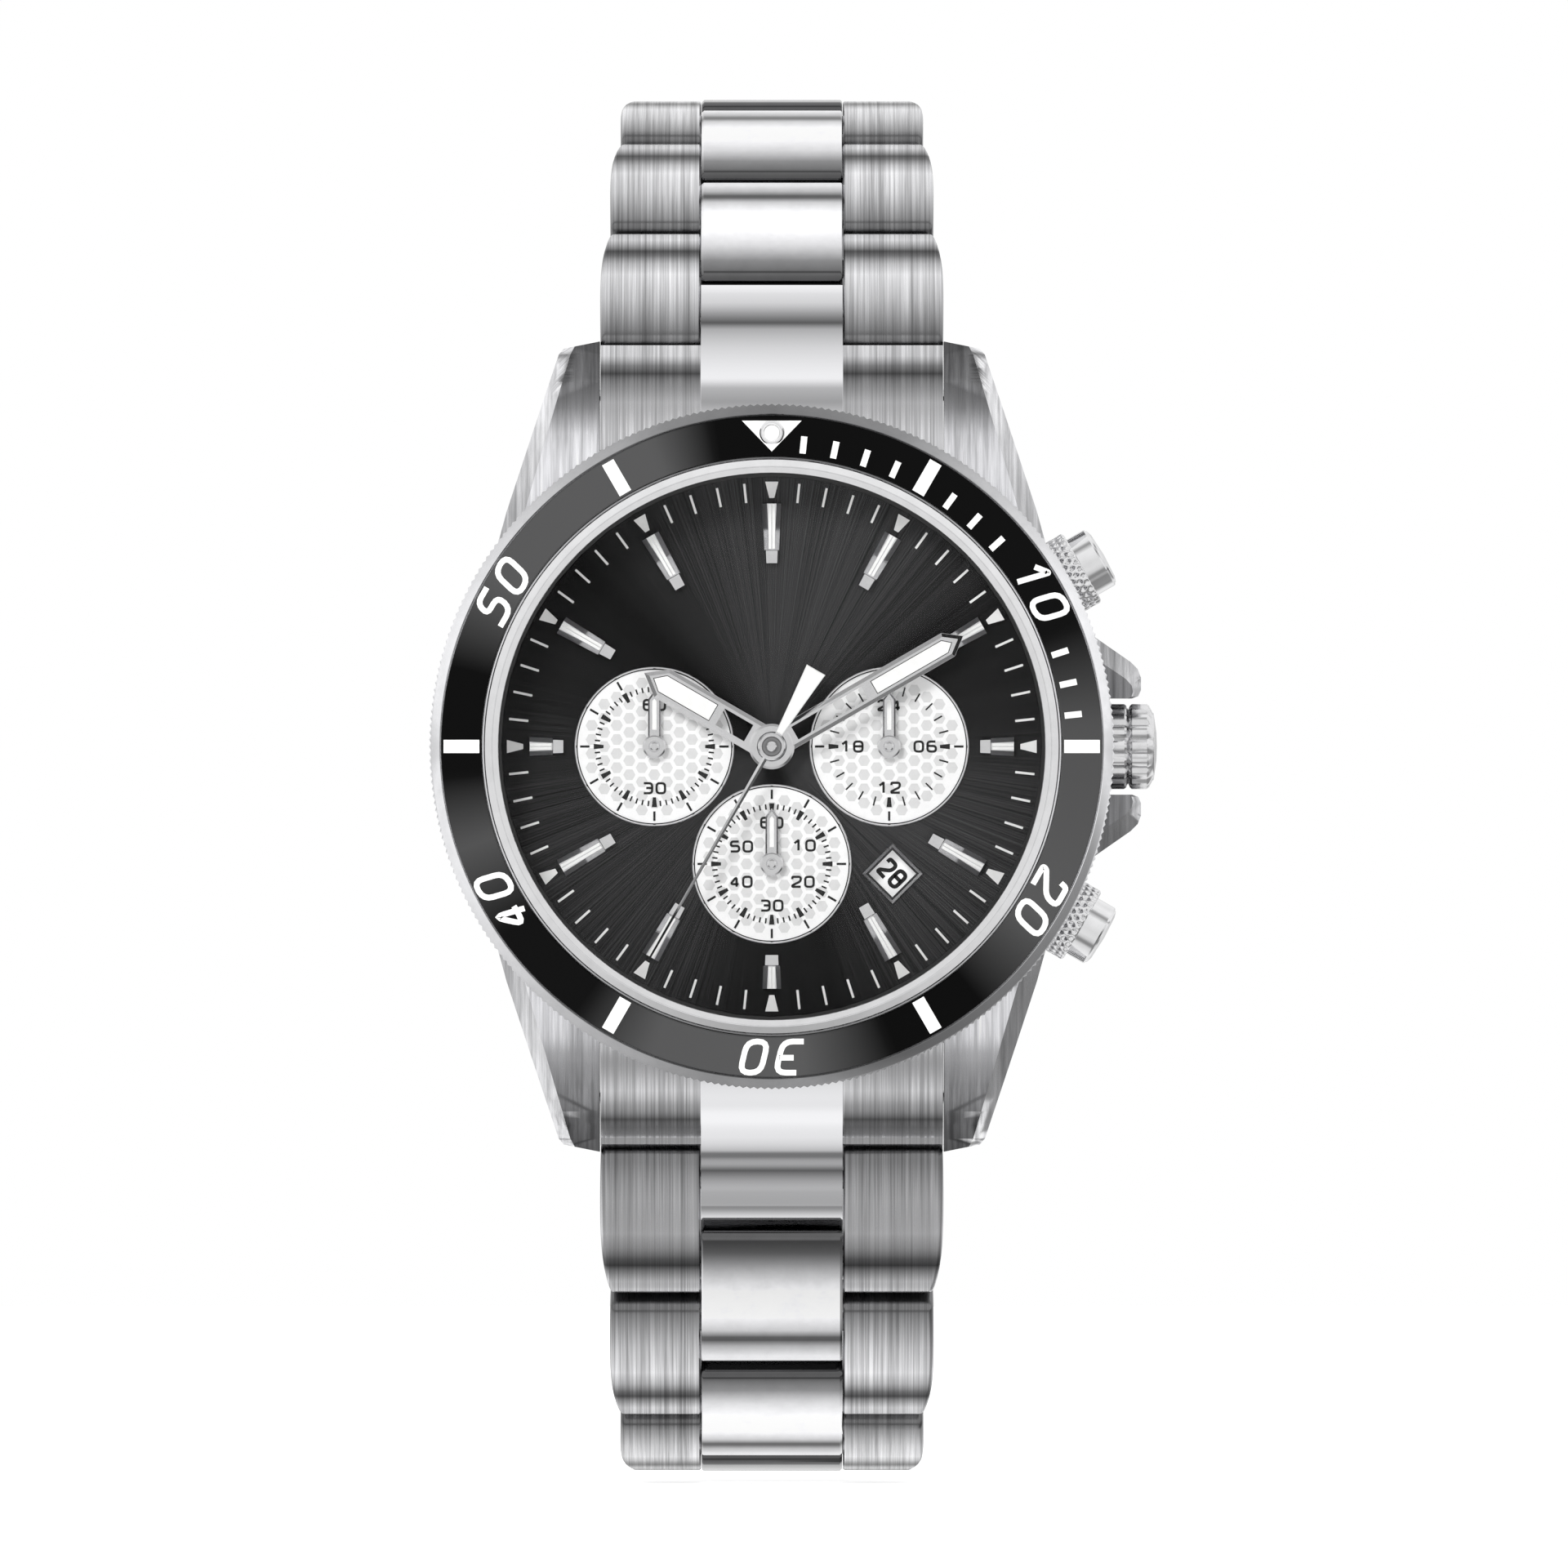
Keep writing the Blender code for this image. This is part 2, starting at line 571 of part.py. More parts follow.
# ---------------------------------------------------------------- movement
def build_movement():
    """Casing ring, plate, bridge, cell and the date ring."""
    holder = lathe([(15.2, 2.45), (17.4, 2.45), (17.4, 6.85), (15.2, 6.85)], 40)
    place(holder, DIAL_FRAME)
    for degrees in (0.0, PUSHER_DEG, -PUSHER_DEG):
        cut(holder, place(disc(0.8, 13.0, 19.0, count=14), radial_frame(degrees)))
    node(holder, "movement_holder", PLASTIC)

    plate = disc(15.0, 5.35, 6.0, count=36)
    for k in range(3):
        a = math.radians(75 + 120 * k)
        add(plate, disc(0.8, 3.2, 5.5, (13.4 * math.cos(a), 13.4 * math.sin(a)), 14))
    add(plate, disc(0.2, 5.8, 6.9, (0.0, MOTION_Z), 12))
    add(plate, lathe([(12.75, 5.9), (14.8, 5.9), (14.8, 6.8), (12.75, 6.8)], 36))
    for x, z in [(0.0, 0.0)] + subdial_centres():
        cut(plate, disc(0.32, 5.0, 6.4, (x, z), 12))
    node(place(plate, DIAL_FRAME), "main_plate", BRASS)

    bridge = disc(14.95, 2.5, 3.1, count=36)
    cut(bridge, disc(5.0, 2.0, 4.0, (-6.8, -6.8), 24))
    node(place(bridge, DIAL_FRAME), "train_bridge", STEEL)

    cell = lathe([(0, 2.55), (4.5, 2.55), (4.75, 2.75), (4.75, 5.1), (0, 5.1)], 24)
    cell = place(cell, Matrix.Translation((-6.8, -6.8, 0.0)))
    node(place(cell, DIAL_FRAME), "battery_cell", POLISHED, (-6.8, -2.55, -6.8))

    ring = lathe([(9.9, 6.15, 0.5), (12.5, 6.15), (12.5, 6.4), (9.9, 6.4, 0.5)], DATE_TEETH * 2)
    node(place(ring, DIAL_FRAME), "date_wheel", PAPER_WHITE)


# ---------------------------------------------------------------- crown and pushers
def build_crown():
    """Crown, its tube, the stem and the setting lever that holds the stem's groove."""
    frame = radial_frame(0.0)
    crown = lathe([(0.65, 21.05), (2.4, 21.05), (CROWN_R, 21.25, 0.3), (CROWN_R, 22.5, 0.3), (2.35, 22.76),
                   (CROWN_R, 23.0, 0.3), (CROWN_R, 24.0, 0.3), (1.9, 24.45), (0, 24.6), (0, 23.6),
                   (0.65, 23.6)], CROWN_FLUTES * 2)
    cut(crown, disc(1.5, 20.0, 22.5, count=20))
    node(place(crown, frame), "crown", POLISHED, point_on(frame, 21.05))
    tube = lathe([(0.85, 17.75), (1.38, 17.75), (1.38, 22.3), (0.85, 22.3)], 16)
    node(place(tube, frame), "crown_tube", STEEL)
    stem = lathe([(0, 7.5), (0.55, 7.5), (0.55, 8.6), (0.35, 8.6), (0.35, 9.4), (0.55, 9.4), (0.55, 23.5),
                  (0, 23.5)], 12)
    node(place(stem, frame), "winding_stem", STEEL, point_on(frame, 9.0))
    lever = box((-1.9, -0.95, 8.75), (1.5, 0.68, 9.25))
    cut(lever, box((-0.42, -0.42, 8.0), (0.42, 2.0, 10.0)))
    node(place(lever, frame), "setting_lever", STEEL, point_on(frame, 9.0))


def build_pushers():
    """Two chronograph pushers: tube in the case, screw-down collar, and cap with its stem."""
    for tag, degrees in (("upper", PUSHER_DEG), ("lower", -PUSHER_DEG)):
        frame = radial_frame(degrees)
        tube = lathe([(0.72, 17.8), (1.28, 17.8), (1.28, 21.9), (0.72, 21.9)], 16)
        node(place(tube, frame), f"pusher_tube_{tag}", STEEL)
        collar = lathe([(1.4, 21.4), (COLLAR_R - 0.15, 21.4), (COLLAR_R, 21.55, 0.12),
                        (COLLAR_R, 22.75, 0.12), (COLLAR_R - 0.12, COLLAR_FACE), (2.12, COLLAR_FACE),
                        (2.12, 21.75), (1.4, 21.75)], KNURLS * 2)
        node(place(collar, frame), f"pusher_collar_{tag}", STEEL, point_on(frame, 21.4))
        cap = lathe([(0, 15.9), (0.58, 15.9), (0.58, 23.7), (1.6, 23.7), (1.6, 22.75), (CAP_R, 22.75),
                     (CAP_R, 24.2), (1.85, 24.38), (0, CAP_FACE)], 24)
        node(place(cap, frame), f"pusher_cap_{tag}", POLISHED, point_on(frame, CAP_FACE))


# ---------------------------------------------------------------- clasp
def clasp_frame(pin_6, pin_12):
    """Local X from the 6 o'clock pin to the 12 o'clock pin, local Y outwards, local Z across."""
    along = (pin_12 - pin_6).normalized()
    outward = Vector((0.0, along.z, -along.y))
    across = along.cross(outward)
    return Matrix.Translation(pin_6) @ Matrix((along, outward, across)).transposed().to_4x4()


def build_clasp(pin_6, pin_12):
    """Folding clasp: end blade, middle blade, cover and the safety latch."""
    frame = clasp_frame(pin_6, pin_12)
    length = (pin_12 - pin_6).length

    def arched(u, n):
        return (u, n + CLASP_BULGE * math.sin(math.pi * u / length))

    def strip(u0, u1, n0, n1, steps=8):
        us = [u0 + (u1 - u0) * k / steps for k in range(steps + 1)]
        return [arched(u, n0) for u in us] + [arched(u, n1) for u in reversed(us)]

    def tongue(pin_u, facing, root):
        return [(pin_u + facing * s, n * 0.93) for s, n in link_outline(LINK_HALF_T, last=root)]

    def barrel(u, n, radius, half):
        return disc(radius, -half, half, arched(u, n), 16)

    def world(u, n):
        return frame @ Vector((*arched(u, n), 0.0))

    fold = (FOLD_PIVOT_U, FOLD_PIVOT_N)
    hinge = (COVER_PIVOT_U, COVER_PIVOT_N)
    catch = (LATCH_PIVOT_U, LATCH_PIVOT_N)

    end = prism(strip(FOLD_PIVOT_U + 1.7, length - 2.8, -2.35, -1.7), -BLADE_HALF_W, BLADE_HALF_W)
    cut(end, prism(strip(16.0, 34.0, -4.0, 3.0), -3.2, 3.2))
    add(end, barrel(*fold, KNUCKLE_R, KNUCKLE_HALF_W))
    add(end, prism(strip(FOLD_PIVOT_U, FOLD_PIVOT_U + 2.5, -2.1, -1.72, 2), -KNUCKLE_HALF_W, KNUCKLE_HALF_W))
    add(end, barrel(*fold, CLASP_PIN_R, BLADE_HALF_W - 0.1))
    riser = [(length - 3.6, -2.3), (length - 0.9, -2.2), (length - 0.2, -1.0), (length - 1.4, -0.4),
             (length - 2.1, -0.8), (length - 3.0, -1.8), (length - 3.6, -1.8)]
    add(end, prism(riser, -TONGUE_HALF_W, TONGUE_HALF_W))
    add(end, prism(tongue(length, -1, LINK_OVERHANG), -TONGUE_HALF_W + 0.01, TONGUE_HALF_W - 0.01))
    cut(end, disc(BORE_R, -6.0, 6.0, (length, 0.0), 12))
    node(place(end, frame), "clasp_end_blade", STEEL, pin_12)

    middle = prism(strip(FOLD_PIVOT_U, COVER_PIVOT_U, -0.75, -0.1), -BLADE_HALF_W, BLADE_HALF_W)
    cut(middle, prism(strip(16.0, 34.0, -3.0, 3.0), -3.2, 3.2))
    for pivot in (fold, hinge):
        add(middle, barrel(*pivot, KNUCKLE_R, BLADE_HALF_W - 0.01))
    cut(middle, barrel(*hinge, CLASP_BORE_R, BLADE_HALF_W + 1.0))
    u, n = arched(*fold)
    gap = KNUCKLE_HALF_W + FIT
    cut(middle, box((u - 2.0, n - 2.0, -gap), (u + 1.6, n + 2.0, gap)))
    cut(middle, barrel(*fold, CLASP_BORE_R, BLADE_HALF_W + 1.0))
    node(place(middle, frame), "clasp_middle_blade", STEEL, world(*fold))

    cover = prism(strip(3.0, COVER_END_U, -1.0, 1.9), -CLASP_HALF_W, CLASP_HALF_W)
    inside = CLASP_HALF_W - 0.8
    cut(cover, prism(strip(5.0, 45.5, -3.0, 1.15), -inside, inside))
    add(cover, prism(tongue(0.0, 1, 3.4), -TONGUE_HALF_W, TONGUE_HALF_W))
    add(cover, disc(0.4, -TONGUE_HALF_W - 0.1, TONGUE_HALF_W + 0.1, (0.0, 0.0), 10))
    add(cover, barrel(*hinge, CLASP_PIN_R, inside + 0.4))
    for low in (CLASP_HALF_W - 0.4, -CLASP_HALF_W - 0.65):
        add(cover, disc(CLASP_PIN_R, low, low + 1.05, arched(*catch), 16))
    node(place(cover, frame), "clasp_cover", STEEL, world(*hinge))

    arm_in, arm_out = CLASP_HALF_W + 0.1, CLASP_HALF_W + 0.75
    latch = prism(strip(LATCH_PIVOT_U - 1.2, COVER_END_U - 0.1, -0.9, 2.65, 4), -arm_out, arm_out)
    cut(latch, prism(strip(LATCH_PIVOT_U - 3.0, 44.4, -3.0, 2.05, 4), -arm_in, arm_in))
    cut(latch, prism(strip(LATCH_PIVOT_U - 3.0, 37.5, 1.4, 5.0, 4), -12.0, 12.0))
    cut(latch, barrel(*catch, CLASP_BORE_R, 12.0))
    node(place(latch, frame), "clasp_safety_latch", POLISHED, world(*catch))


for leftover in list(bpy.data.objects):
    bpy.data.objects.remove(leftover, do_unlink=True)

build_case()
build_back()
build_bezel()
build_dial()
build_hands()
build_movement()
build_crown()
build_pushers()
build_end_link("12", START_12, END_LINK_DEG_12, 1)
build_end_link("6", START_6, END_LINK_DEG_6, -1)
last_12 = build_bracelet_side("12", START_12, DIRECTIONS_12, 1)[-1]
last_6 = build_bracelet_side("6", START_6, DIRECTIONS_6, -1)[-1]
build_clasp(last_6, last_12)
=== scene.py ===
"""Steel sports chronograph wristwatch: the detailed looks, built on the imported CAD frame.

World frame in metres: +X points to 3 o'clock, +Z to 12 o'clock, and the dial faces -Y. Sizes below are
millimetres. "Plan" points are (x, z) seen from the dial side, and h is the height above the case back.
"""
import json
import math

import bmesh
import bpy
from mathutils import Matrix, Vector


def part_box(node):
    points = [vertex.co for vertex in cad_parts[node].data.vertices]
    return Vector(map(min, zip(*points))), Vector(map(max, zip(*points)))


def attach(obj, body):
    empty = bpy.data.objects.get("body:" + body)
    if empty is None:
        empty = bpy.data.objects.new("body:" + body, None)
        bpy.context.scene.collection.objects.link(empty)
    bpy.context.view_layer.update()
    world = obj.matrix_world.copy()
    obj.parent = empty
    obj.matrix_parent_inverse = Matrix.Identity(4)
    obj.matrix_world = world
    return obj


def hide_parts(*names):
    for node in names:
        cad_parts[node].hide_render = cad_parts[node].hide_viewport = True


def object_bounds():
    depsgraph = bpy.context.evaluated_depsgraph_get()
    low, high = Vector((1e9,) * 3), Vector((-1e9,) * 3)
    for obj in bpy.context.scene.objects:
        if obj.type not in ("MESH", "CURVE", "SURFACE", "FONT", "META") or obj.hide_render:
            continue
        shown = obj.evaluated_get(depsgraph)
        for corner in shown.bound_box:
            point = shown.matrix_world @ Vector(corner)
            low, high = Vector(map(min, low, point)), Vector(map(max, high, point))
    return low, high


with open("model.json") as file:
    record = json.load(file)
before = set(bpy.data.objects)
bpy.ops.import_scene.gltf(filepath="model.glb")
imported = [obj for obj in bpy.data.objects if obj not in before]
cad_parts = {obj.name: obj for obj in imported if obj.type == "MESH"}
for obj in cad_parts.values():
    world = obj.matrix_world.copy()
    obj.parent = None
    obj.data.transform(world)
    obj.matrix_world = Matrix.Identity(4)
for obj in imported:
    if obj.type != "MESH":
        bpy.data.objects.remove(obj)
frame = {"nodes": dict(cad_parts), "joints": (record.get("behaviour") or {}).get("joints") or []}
cad_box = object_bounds()

MM = 0.001
TAU = math.tau

# camera and floor
VIEW_WIDTH = 99.84
VIEW_OFFSET = (0.78, -2.39)
CAMERA_DISTANCE = 2000.0
SENSOR = 36.0
FLOOR_HALF = 700.0
FLOOR_GAP = 0.6
WHITE = (1.0, 1.0, 1.0, 1.0)

# key light, in watts and metres
KEY_WATTS = 2.2
KEY_SIZE = 0.16
KEY_PLACE = (-0.22, -0.5, 0.3)

# surroundings: brightness at degrees up and down from straight ahead, dimmed along one direction
SOFT_FILL = 0.55
BANDS_UP = [(0, 0.85), (20, 0.95), (42, 1.0), (54, 0.6), (62, 0.35), (69, 0.5), (78, 0.95), (100, 1.05),
            (125, 0.95), (150, 1.0), (179, 0.7)]
BANDS_DOWN = [(18, 0.9), (30, 0.75), (40, 0.3), (48, 0.3), (58, 0.8), (75, 0.95), (100, 1.05), (125, 0.95),
              (150, 1.0), (179, 0.6)]
DIM_DIRECTION = (0.65, 0.0, -0.6)
DIM_RANGE = (0.66, 0.8, 1.0, 0.3)

# heights above the case back: the dial's and the crystal's come from the CAD nodes
DIAL_H = -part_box("dial")[0].y / MM
CRYSTAL_H = -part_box("crystal")[0].y / MM
TURRET_H = 11.3
SUBDIAL_H = DIAL_H - 0.12
SIDE_AXIS_H = 4.6
HOUR_H = 8.26
MINUTE_H = 8.76
SWEEP_H = 9.17
SMALL_HAND_H = 7.74

# bezel
COIN_TEETH = 300
COIN_R = 21.84
COIN_DEPTH = 0.12
INSERT_IN = 18.5
INSERT_OUT = 21.06
INSERT_IN_H = 11.55
INSERT_OUT_H = 10.98
PEARL_Z = 19.97

# dial
SUBDIAL_R = 5.04
SUBDIAL_OFFSET = 7.49
SUBDIALS = {"left": (-SUBDIAL_OFFSET, 0.0), "right": (SUBDIAL_OFFSET, 0.0), "lower": (0.0, -SUBDIAL_OFFSET)}
HEX_COLUMN = 0.8
HEX_ROW = 0.9
HEX_R = 0.39
DATE_CENTRE = (7.7, -8.11)
DATE_DEG = 136.5
DATE_RING_R = 11.18
DATE_TOP = 6.4
DATE_SHOWN = 28
DATE_STEP = 360.0 / 31
PRINT_T = 0.02

# hands, in degrees clockwise from 12 o'clock
HOUR_DEG = 300.0
MINUTE_DEG = 60.0
SWEEP_DEG = 210.0

# case plan
CASE_R = 20.75
CASE_LOW = 1.0
CASE_TOP = 8.3
LUG_IN = 11.0
LUG_NOTCH_R = 19.0
LUG_LINE = ((13.62, 25.06), (19.717, 6.467))
LUG_PROFILE = [
    (3.0, 1.0, 8.25), (15.0, 1.0, 8.1), (18.5, 1.0, 7.5), (19.5, 1.0, 7.2), (21.0, 0.6, 6.6),
    (22.0, 0.2, 6.05), (23.3, -0.4, 5.3), (24.2, -0.8, 4.6), (25.06, -0.72, 4.05),
]
LUG_TIP_X = 13.3
LUG_BAR_AT = (22.4, 2.9)

# side controls
PUSHER_DEG = 30.0
CROWN_HOLE_R = 1.45
PUSHER_HOLE_R = 1.35
POCKET_R = 2.77
FLUTES = 16
FLUTE_WAVE = [0.0, 0.01, 0.05, 0.17, 0.24, 0.17, 0.05, 0.01]

# bracelet
HALF_PITCH = 5.1
OVERHANG = 2.4
LINK_HALF_T = 1.5
CENTRE_PROUD = 0.25
CENTRE_HALF_W = 4.53
OUTER_IN = 4.58
DOME = 0.42
LAST_DIRECTION_6 = 174.0
END_LINK_TOP = [(18.0, 8.05), (19.5, 7.75), (21.0, 7.15), (22.5, 6.3), (23.8, 5.35)]
END_LINK_DEG = {"12": 38.0, "6": 15.0}
PAIR_WIDTHS = [22.0, 20.8, 19.55, 18.4, 18.0, 18.0]

# raised strip along the clasp cover, which is an arc seen from the side
CLASP_STRIP_HALF_W = 4.5
CLASP_STRIP_RISE = 0.3
CLASP_STRIP_FROM, CLASP_STRIP_TO = -23.4, 4.4
CLASP_STRIP_SPANS = 14
CLASP_TOP_Y, CLASP_TOP_Z = 39.95, 10.0
CLASP_ARC_R = 288.0


# ---------------------------------------------------------------- solids as (verts, faces) in millimetres
def loft(rings, closed=False):
    """Skin through rings of equal point counts, with flat ends unless the loft closes on itself."""
    n = len(rings[0])
    verts = [Vector(p) for ring in rings for p in ring]
    faces = []
    spans = len(rings) if closed else len(rings) - 1
    for k in range(spans):
        a, b = k * n, (k + 1) % len(rings) * n
        for i in range(n):
            j = (i + 1) % n
            faces.append((a + i, a + j, b + j, b + i))
    if not closed:
        faces.append(tuple(range(n))[::-1])
        faces.append(tuple((len(rings) - 1) * n + i for i in range(n)))
    return verts, faces


def joined(solids):
    """Several closed shells as one."""
    verts, faces = [], []
    for some_verts, some_faces in solids:
        start = len(verts)
        verts += some_verts
        faces += [tuple(start + i for i in face) for face in some_faces]
    return verts, faces


def circle(radius, count, centre=(0.0, 0.0), start=0.0):
    """Points round a circle."""
    angles = [start + TAU * i / count for i in range(count)]
    return [(centre[0] + radius * math.cos(a), centre[1] + radius * math.sin(a)) for a in angles]


def inset(outline, distance):
    """A plan outline moved inwards by a distance, with mitred corners."""
    area = sum(a[0] * b[1] - b[0] * a[1] for a, b in zip(outline, outline[1:] + outline[:1]))
    side = 1.0 if area > 0 else -1.0
    result = []
    for i, point in enumerate(outline):
        p = Vector(point)
        before = (p - Vector(outline[i - 1])).normalized()
        after = (Vector(outline[(i + 1) % len(outline)]) - p).normalized()
        n1 = Vector((-before.y, before.x)) * side
        n2 = Vector((-after.y, after.x)) * side
        mitre = (n1 + n2).normalized()
        result.append(tuple(p + mitre * distance / max(0.35, mitre.dot(n1))))
    return result


def prism(outline, low, high, chamfer=0.0, drop=None):
    """Extruded plan outline, in (x, z, h), with a chamfer round its top."""
    rings = [[(x, z, low) for x, z in outline]]
    if chamfer:
        rings.append([(x, z, high - (drop or chamfer)) for x, z in outline])
        outline = inset(outline, chamfer)
    rings.append([(x, z, high) for x, z in outline])
    return loft(rings)


def lathe(profile, count=96, depth=None):
    """A closed (radius, height) outline turned round local Z. depth(i, k) sinks point i of ring k."""
    rings = []
    for i in range(count):
        a = TAU * i / count
        ring = []
        for k, (r, h) in enumerate(profile):
            r -= depth(i, k) if depth else 0.0
            ring.append((r * math.cos(a), r * math.sin(a), h))
        rings.append(ring)
    return loft(rings, closed=True)


def turned_plan(points, degrees, centre=(0.0, 0.0)):
    """Plan points turned clockwise from 12 o'clock about the origin, then moved to a centre."""
    a = math.radians(degrees)
    c, s = math.cos(a), math.sin(a)
    return [(centre[0] + x * c + y * s, centre[1] - x * s + y * c) for x, y in points]


def draped(outline, surface, thick=PRINT_T):
    """A thin print of a plan outline that follows a surface h(x, z)."""
    bottom = [(x, z, surface(x, z) - thick) for x, z in outline]
    return loft([bottom, [(x, z, surface(x, z) + thick) for x, z in outline]])


def ribbon(points, half, surface, closed=False, thick=PRINT_T):
    """A stroke of even width along plan points, following a surface."""
    rings = []
    n = len(points)
    for i, point in enumerate(points):
        p = Vector(point)
        before = p - Vector(points[i - 1]) if i or closed else Vector(points[1]) - p
        last = i == n - 1 and not closed
        after = before if last else Vector(points[(i + 1) % n]) - p
        d1, d2 = before.normalized(), after.normalized()
        mitre = Vector((-d1.y - d2.y, d1.x + d2.x)).normalized()
        reach = half / max(0.45, mitre.dot(Vector((-d1.y, d1.x))))
        a, b = p + mitre * reach, p - mitre * reach
        rings.append([
            (a.x, a.y, surface(*a) - thick), (b.x, b.y, surface(*b) - thick),
            (b.x, b.y, surface(*b) + thick), (a.x, a.y, surface(*a) + thick),
        ])
    return loft(rings, closed)


def flat(height):
    """A level surface for prints."""
    return lambda x, z: height


# ---------------------------------------------------------------- figures
STROKES = {
    "0": [([(0, 0), (1, 0), (1, 1), (0, 1)], True)],
    "1": [([(0.12, 0.72), (0.55, 1), (0.6, 1), (0.6, 0)], False)],
    "2": [([(0, 0.76), (0, 1), (1, 1), (1, 0.56), (0, 0.14), (0, 0), (1, 0)], False)],
    "3": [([(0, 1), (1, 1), (1, 0), (0, 0)], False), ([(0.3, 0.52), (1, 0.52)], False)],
    "4": [([(0.75, 0), (0.75, 1), (0, 0.26), (1, 0.26)], False)],
    "5": [([(0.95, 1), (0.06, 1), (0, 0.56), (1, 0.56), (1, 0), (0, 0)], False)],
    "6": [([(0.95, 1), (0, 1), (0, 0), (1, 0), (1, 0.56), (0, 0.56)], False)],
    "7": [([(0, 1), (1, 1), (0.35, 0)], False)],
    "8": [([(0, 0), (1, 0), (1, 1), (0, 1)], True), ([(0, 0.52), (1, 0.52)], False)],
    "9": [([(0.05, 0), (1, 0), (1, 1), (0, 1), (0, 0.44), (1, 0.44)], False)],
}


def rounded(points, radius, closed, steps=4):
    """Plan points with each corner turned into an arc."""
    result = []
    n = len(points)
    for i, point in enumerate(points):
        p = Vector(point)
        if not closed and i in (0, n - 1):
            result.append(tuple(p))
            continue
        a, b = Vector(points[i - 1]) - p, Vector(points[(i + 1) % n]) - p
        reach = min(radius, a.length * 0.48, b.length * 0.48)
        start, end = p + a.normalized() * reach, p + b.normalized() * reach
        for k in range(steps + 1):
            t = k / steps
            result.append(tuple(start * (1 - t) ** 2 + p * 2 * t * (1 - t) + end * t * t))
    return result


def figures(text, height, width, gap, stroke, place_at, surface, slant=0.0, radius=0.3):
    """Number strokes, centred on place_at's origin. place_at maps a (right, up) point to the plan."""
    span = len(text) * width + (len(text) - 1) * gap
    solids = []
    for k, character in enumerate(text):
        left = -span / 2 + k * (width + gap)
        for path, closed in STROKES[character]:
            points = []
            for u, v in path:
                x = left + stroke / 2 + u * (width - stroke)
                y = -height / 2 + stroke / 2 + v * (height - stroke)
                points.append((x + slant * y, y))
            points = rounded(points, radius, closed)
            solids.append(ribbon([place_at(*p) for p in points], stroke / 2, surface, closed))
    return solids


# ---------------------------------------------------------------- frames
DIAL = Matrix(((1, 0, 0, 0), (0, 0, -1, 0), (0, 1, 0, 0), (0, 0, 0, 1)))


def radial(degrees):
    """Local Z runs outwards from the dial axis at the side controls' height."""
    a = math.radians(degrees)
    outward = Vector((math.cos(a), 0.0, math.sin(a)))
    along = Vector((-math.sin(a), 0.0, math.cos(a)))
    turn = Matrix((along, Vector((0.0, -1.0, 0.0)), outward)).transposed().to_4x4()
    return Matrix.Translation((0.0, -SIDE_AXIS_H, 0.0)) @ turn


def across(side):
    """Local X runs outwards past the lugs on one side, local Y is the height, local Z is across."""
    return Matrix(((0, 0, 1, 0), (0, -1, 0, 0), (side, 0, 0, 0), (0, 0, 0, 1)))


def link_frame(pin, ahead, side):
    """Local X along the bracelet from pin to ahead, local Y outwards from the wrist, local Z across."""
    along = (ahead - pin).normalized()
    outward = Vector((0.0, -along.z, along.y)) * side
    return Matrix.Translation(pin) @ Matrix((along, outward, along.cross(outward))).transposed().to_4x4()


# ---------------------------------------------------------------- materials
class Nodes:
    """A node tree with helpers that add and wire one node at a time."""

    def __init__(self, tree):
        self.tree = tree

    def node(self, kind, *inputs, **settings):
        """A new node with its first inputs filled from values or other nodes' outputs."""
        made = self.tree.nodes.new(kind)
        for key, value in settings.items():
            setattr(made, key, value)
        for socket, value in zip(made.inputs, inputs):
            if value is not None:
                self.fill(socket, value)
        return made

    def fill(self, socket, value):
        if isinstance(value, bpy.types.NodeSocket):
            self.tree.links.new(value, socket)
        else:
            socket.default_value = value

    def math(self, operation, *values):
        return self.node("ShaderNodeMath", *values, operation=operation).outputs[0]

    def parts(self, vector):
        return self.node("ShaderNodeSeparateXYZ", vector).outputs

    def ramp(self, value, stops):
        made = self.node("ShaderNodeValToRGB", value)
        elements = made.color_ramp.elements
        while len(elements) < len(stops):
            elements.new(0.5)
        for element, (position, colour) in zip(elements, stops):
            element.position = position
            element.color = (*colour, 1.0)
        return made.outputs["Color"]

    def remap(self, value, low, high, to_low, to_high):
        return self.node("ShaderNodeMapRange", value, low, high, to_low, to_high).outputs["Result"]

    def mix(self, factor, a, b, blend="MIX"):
        """Two colours mixed by a factor."""
        made = self.node("ShaderNodeMix", data_type="RGBA", blend_type=blend)
        for k, value in ((0, factor), (6, a), (7, b)):
            self.fill(made.inputs[k], value)
        return made.outputs[2]


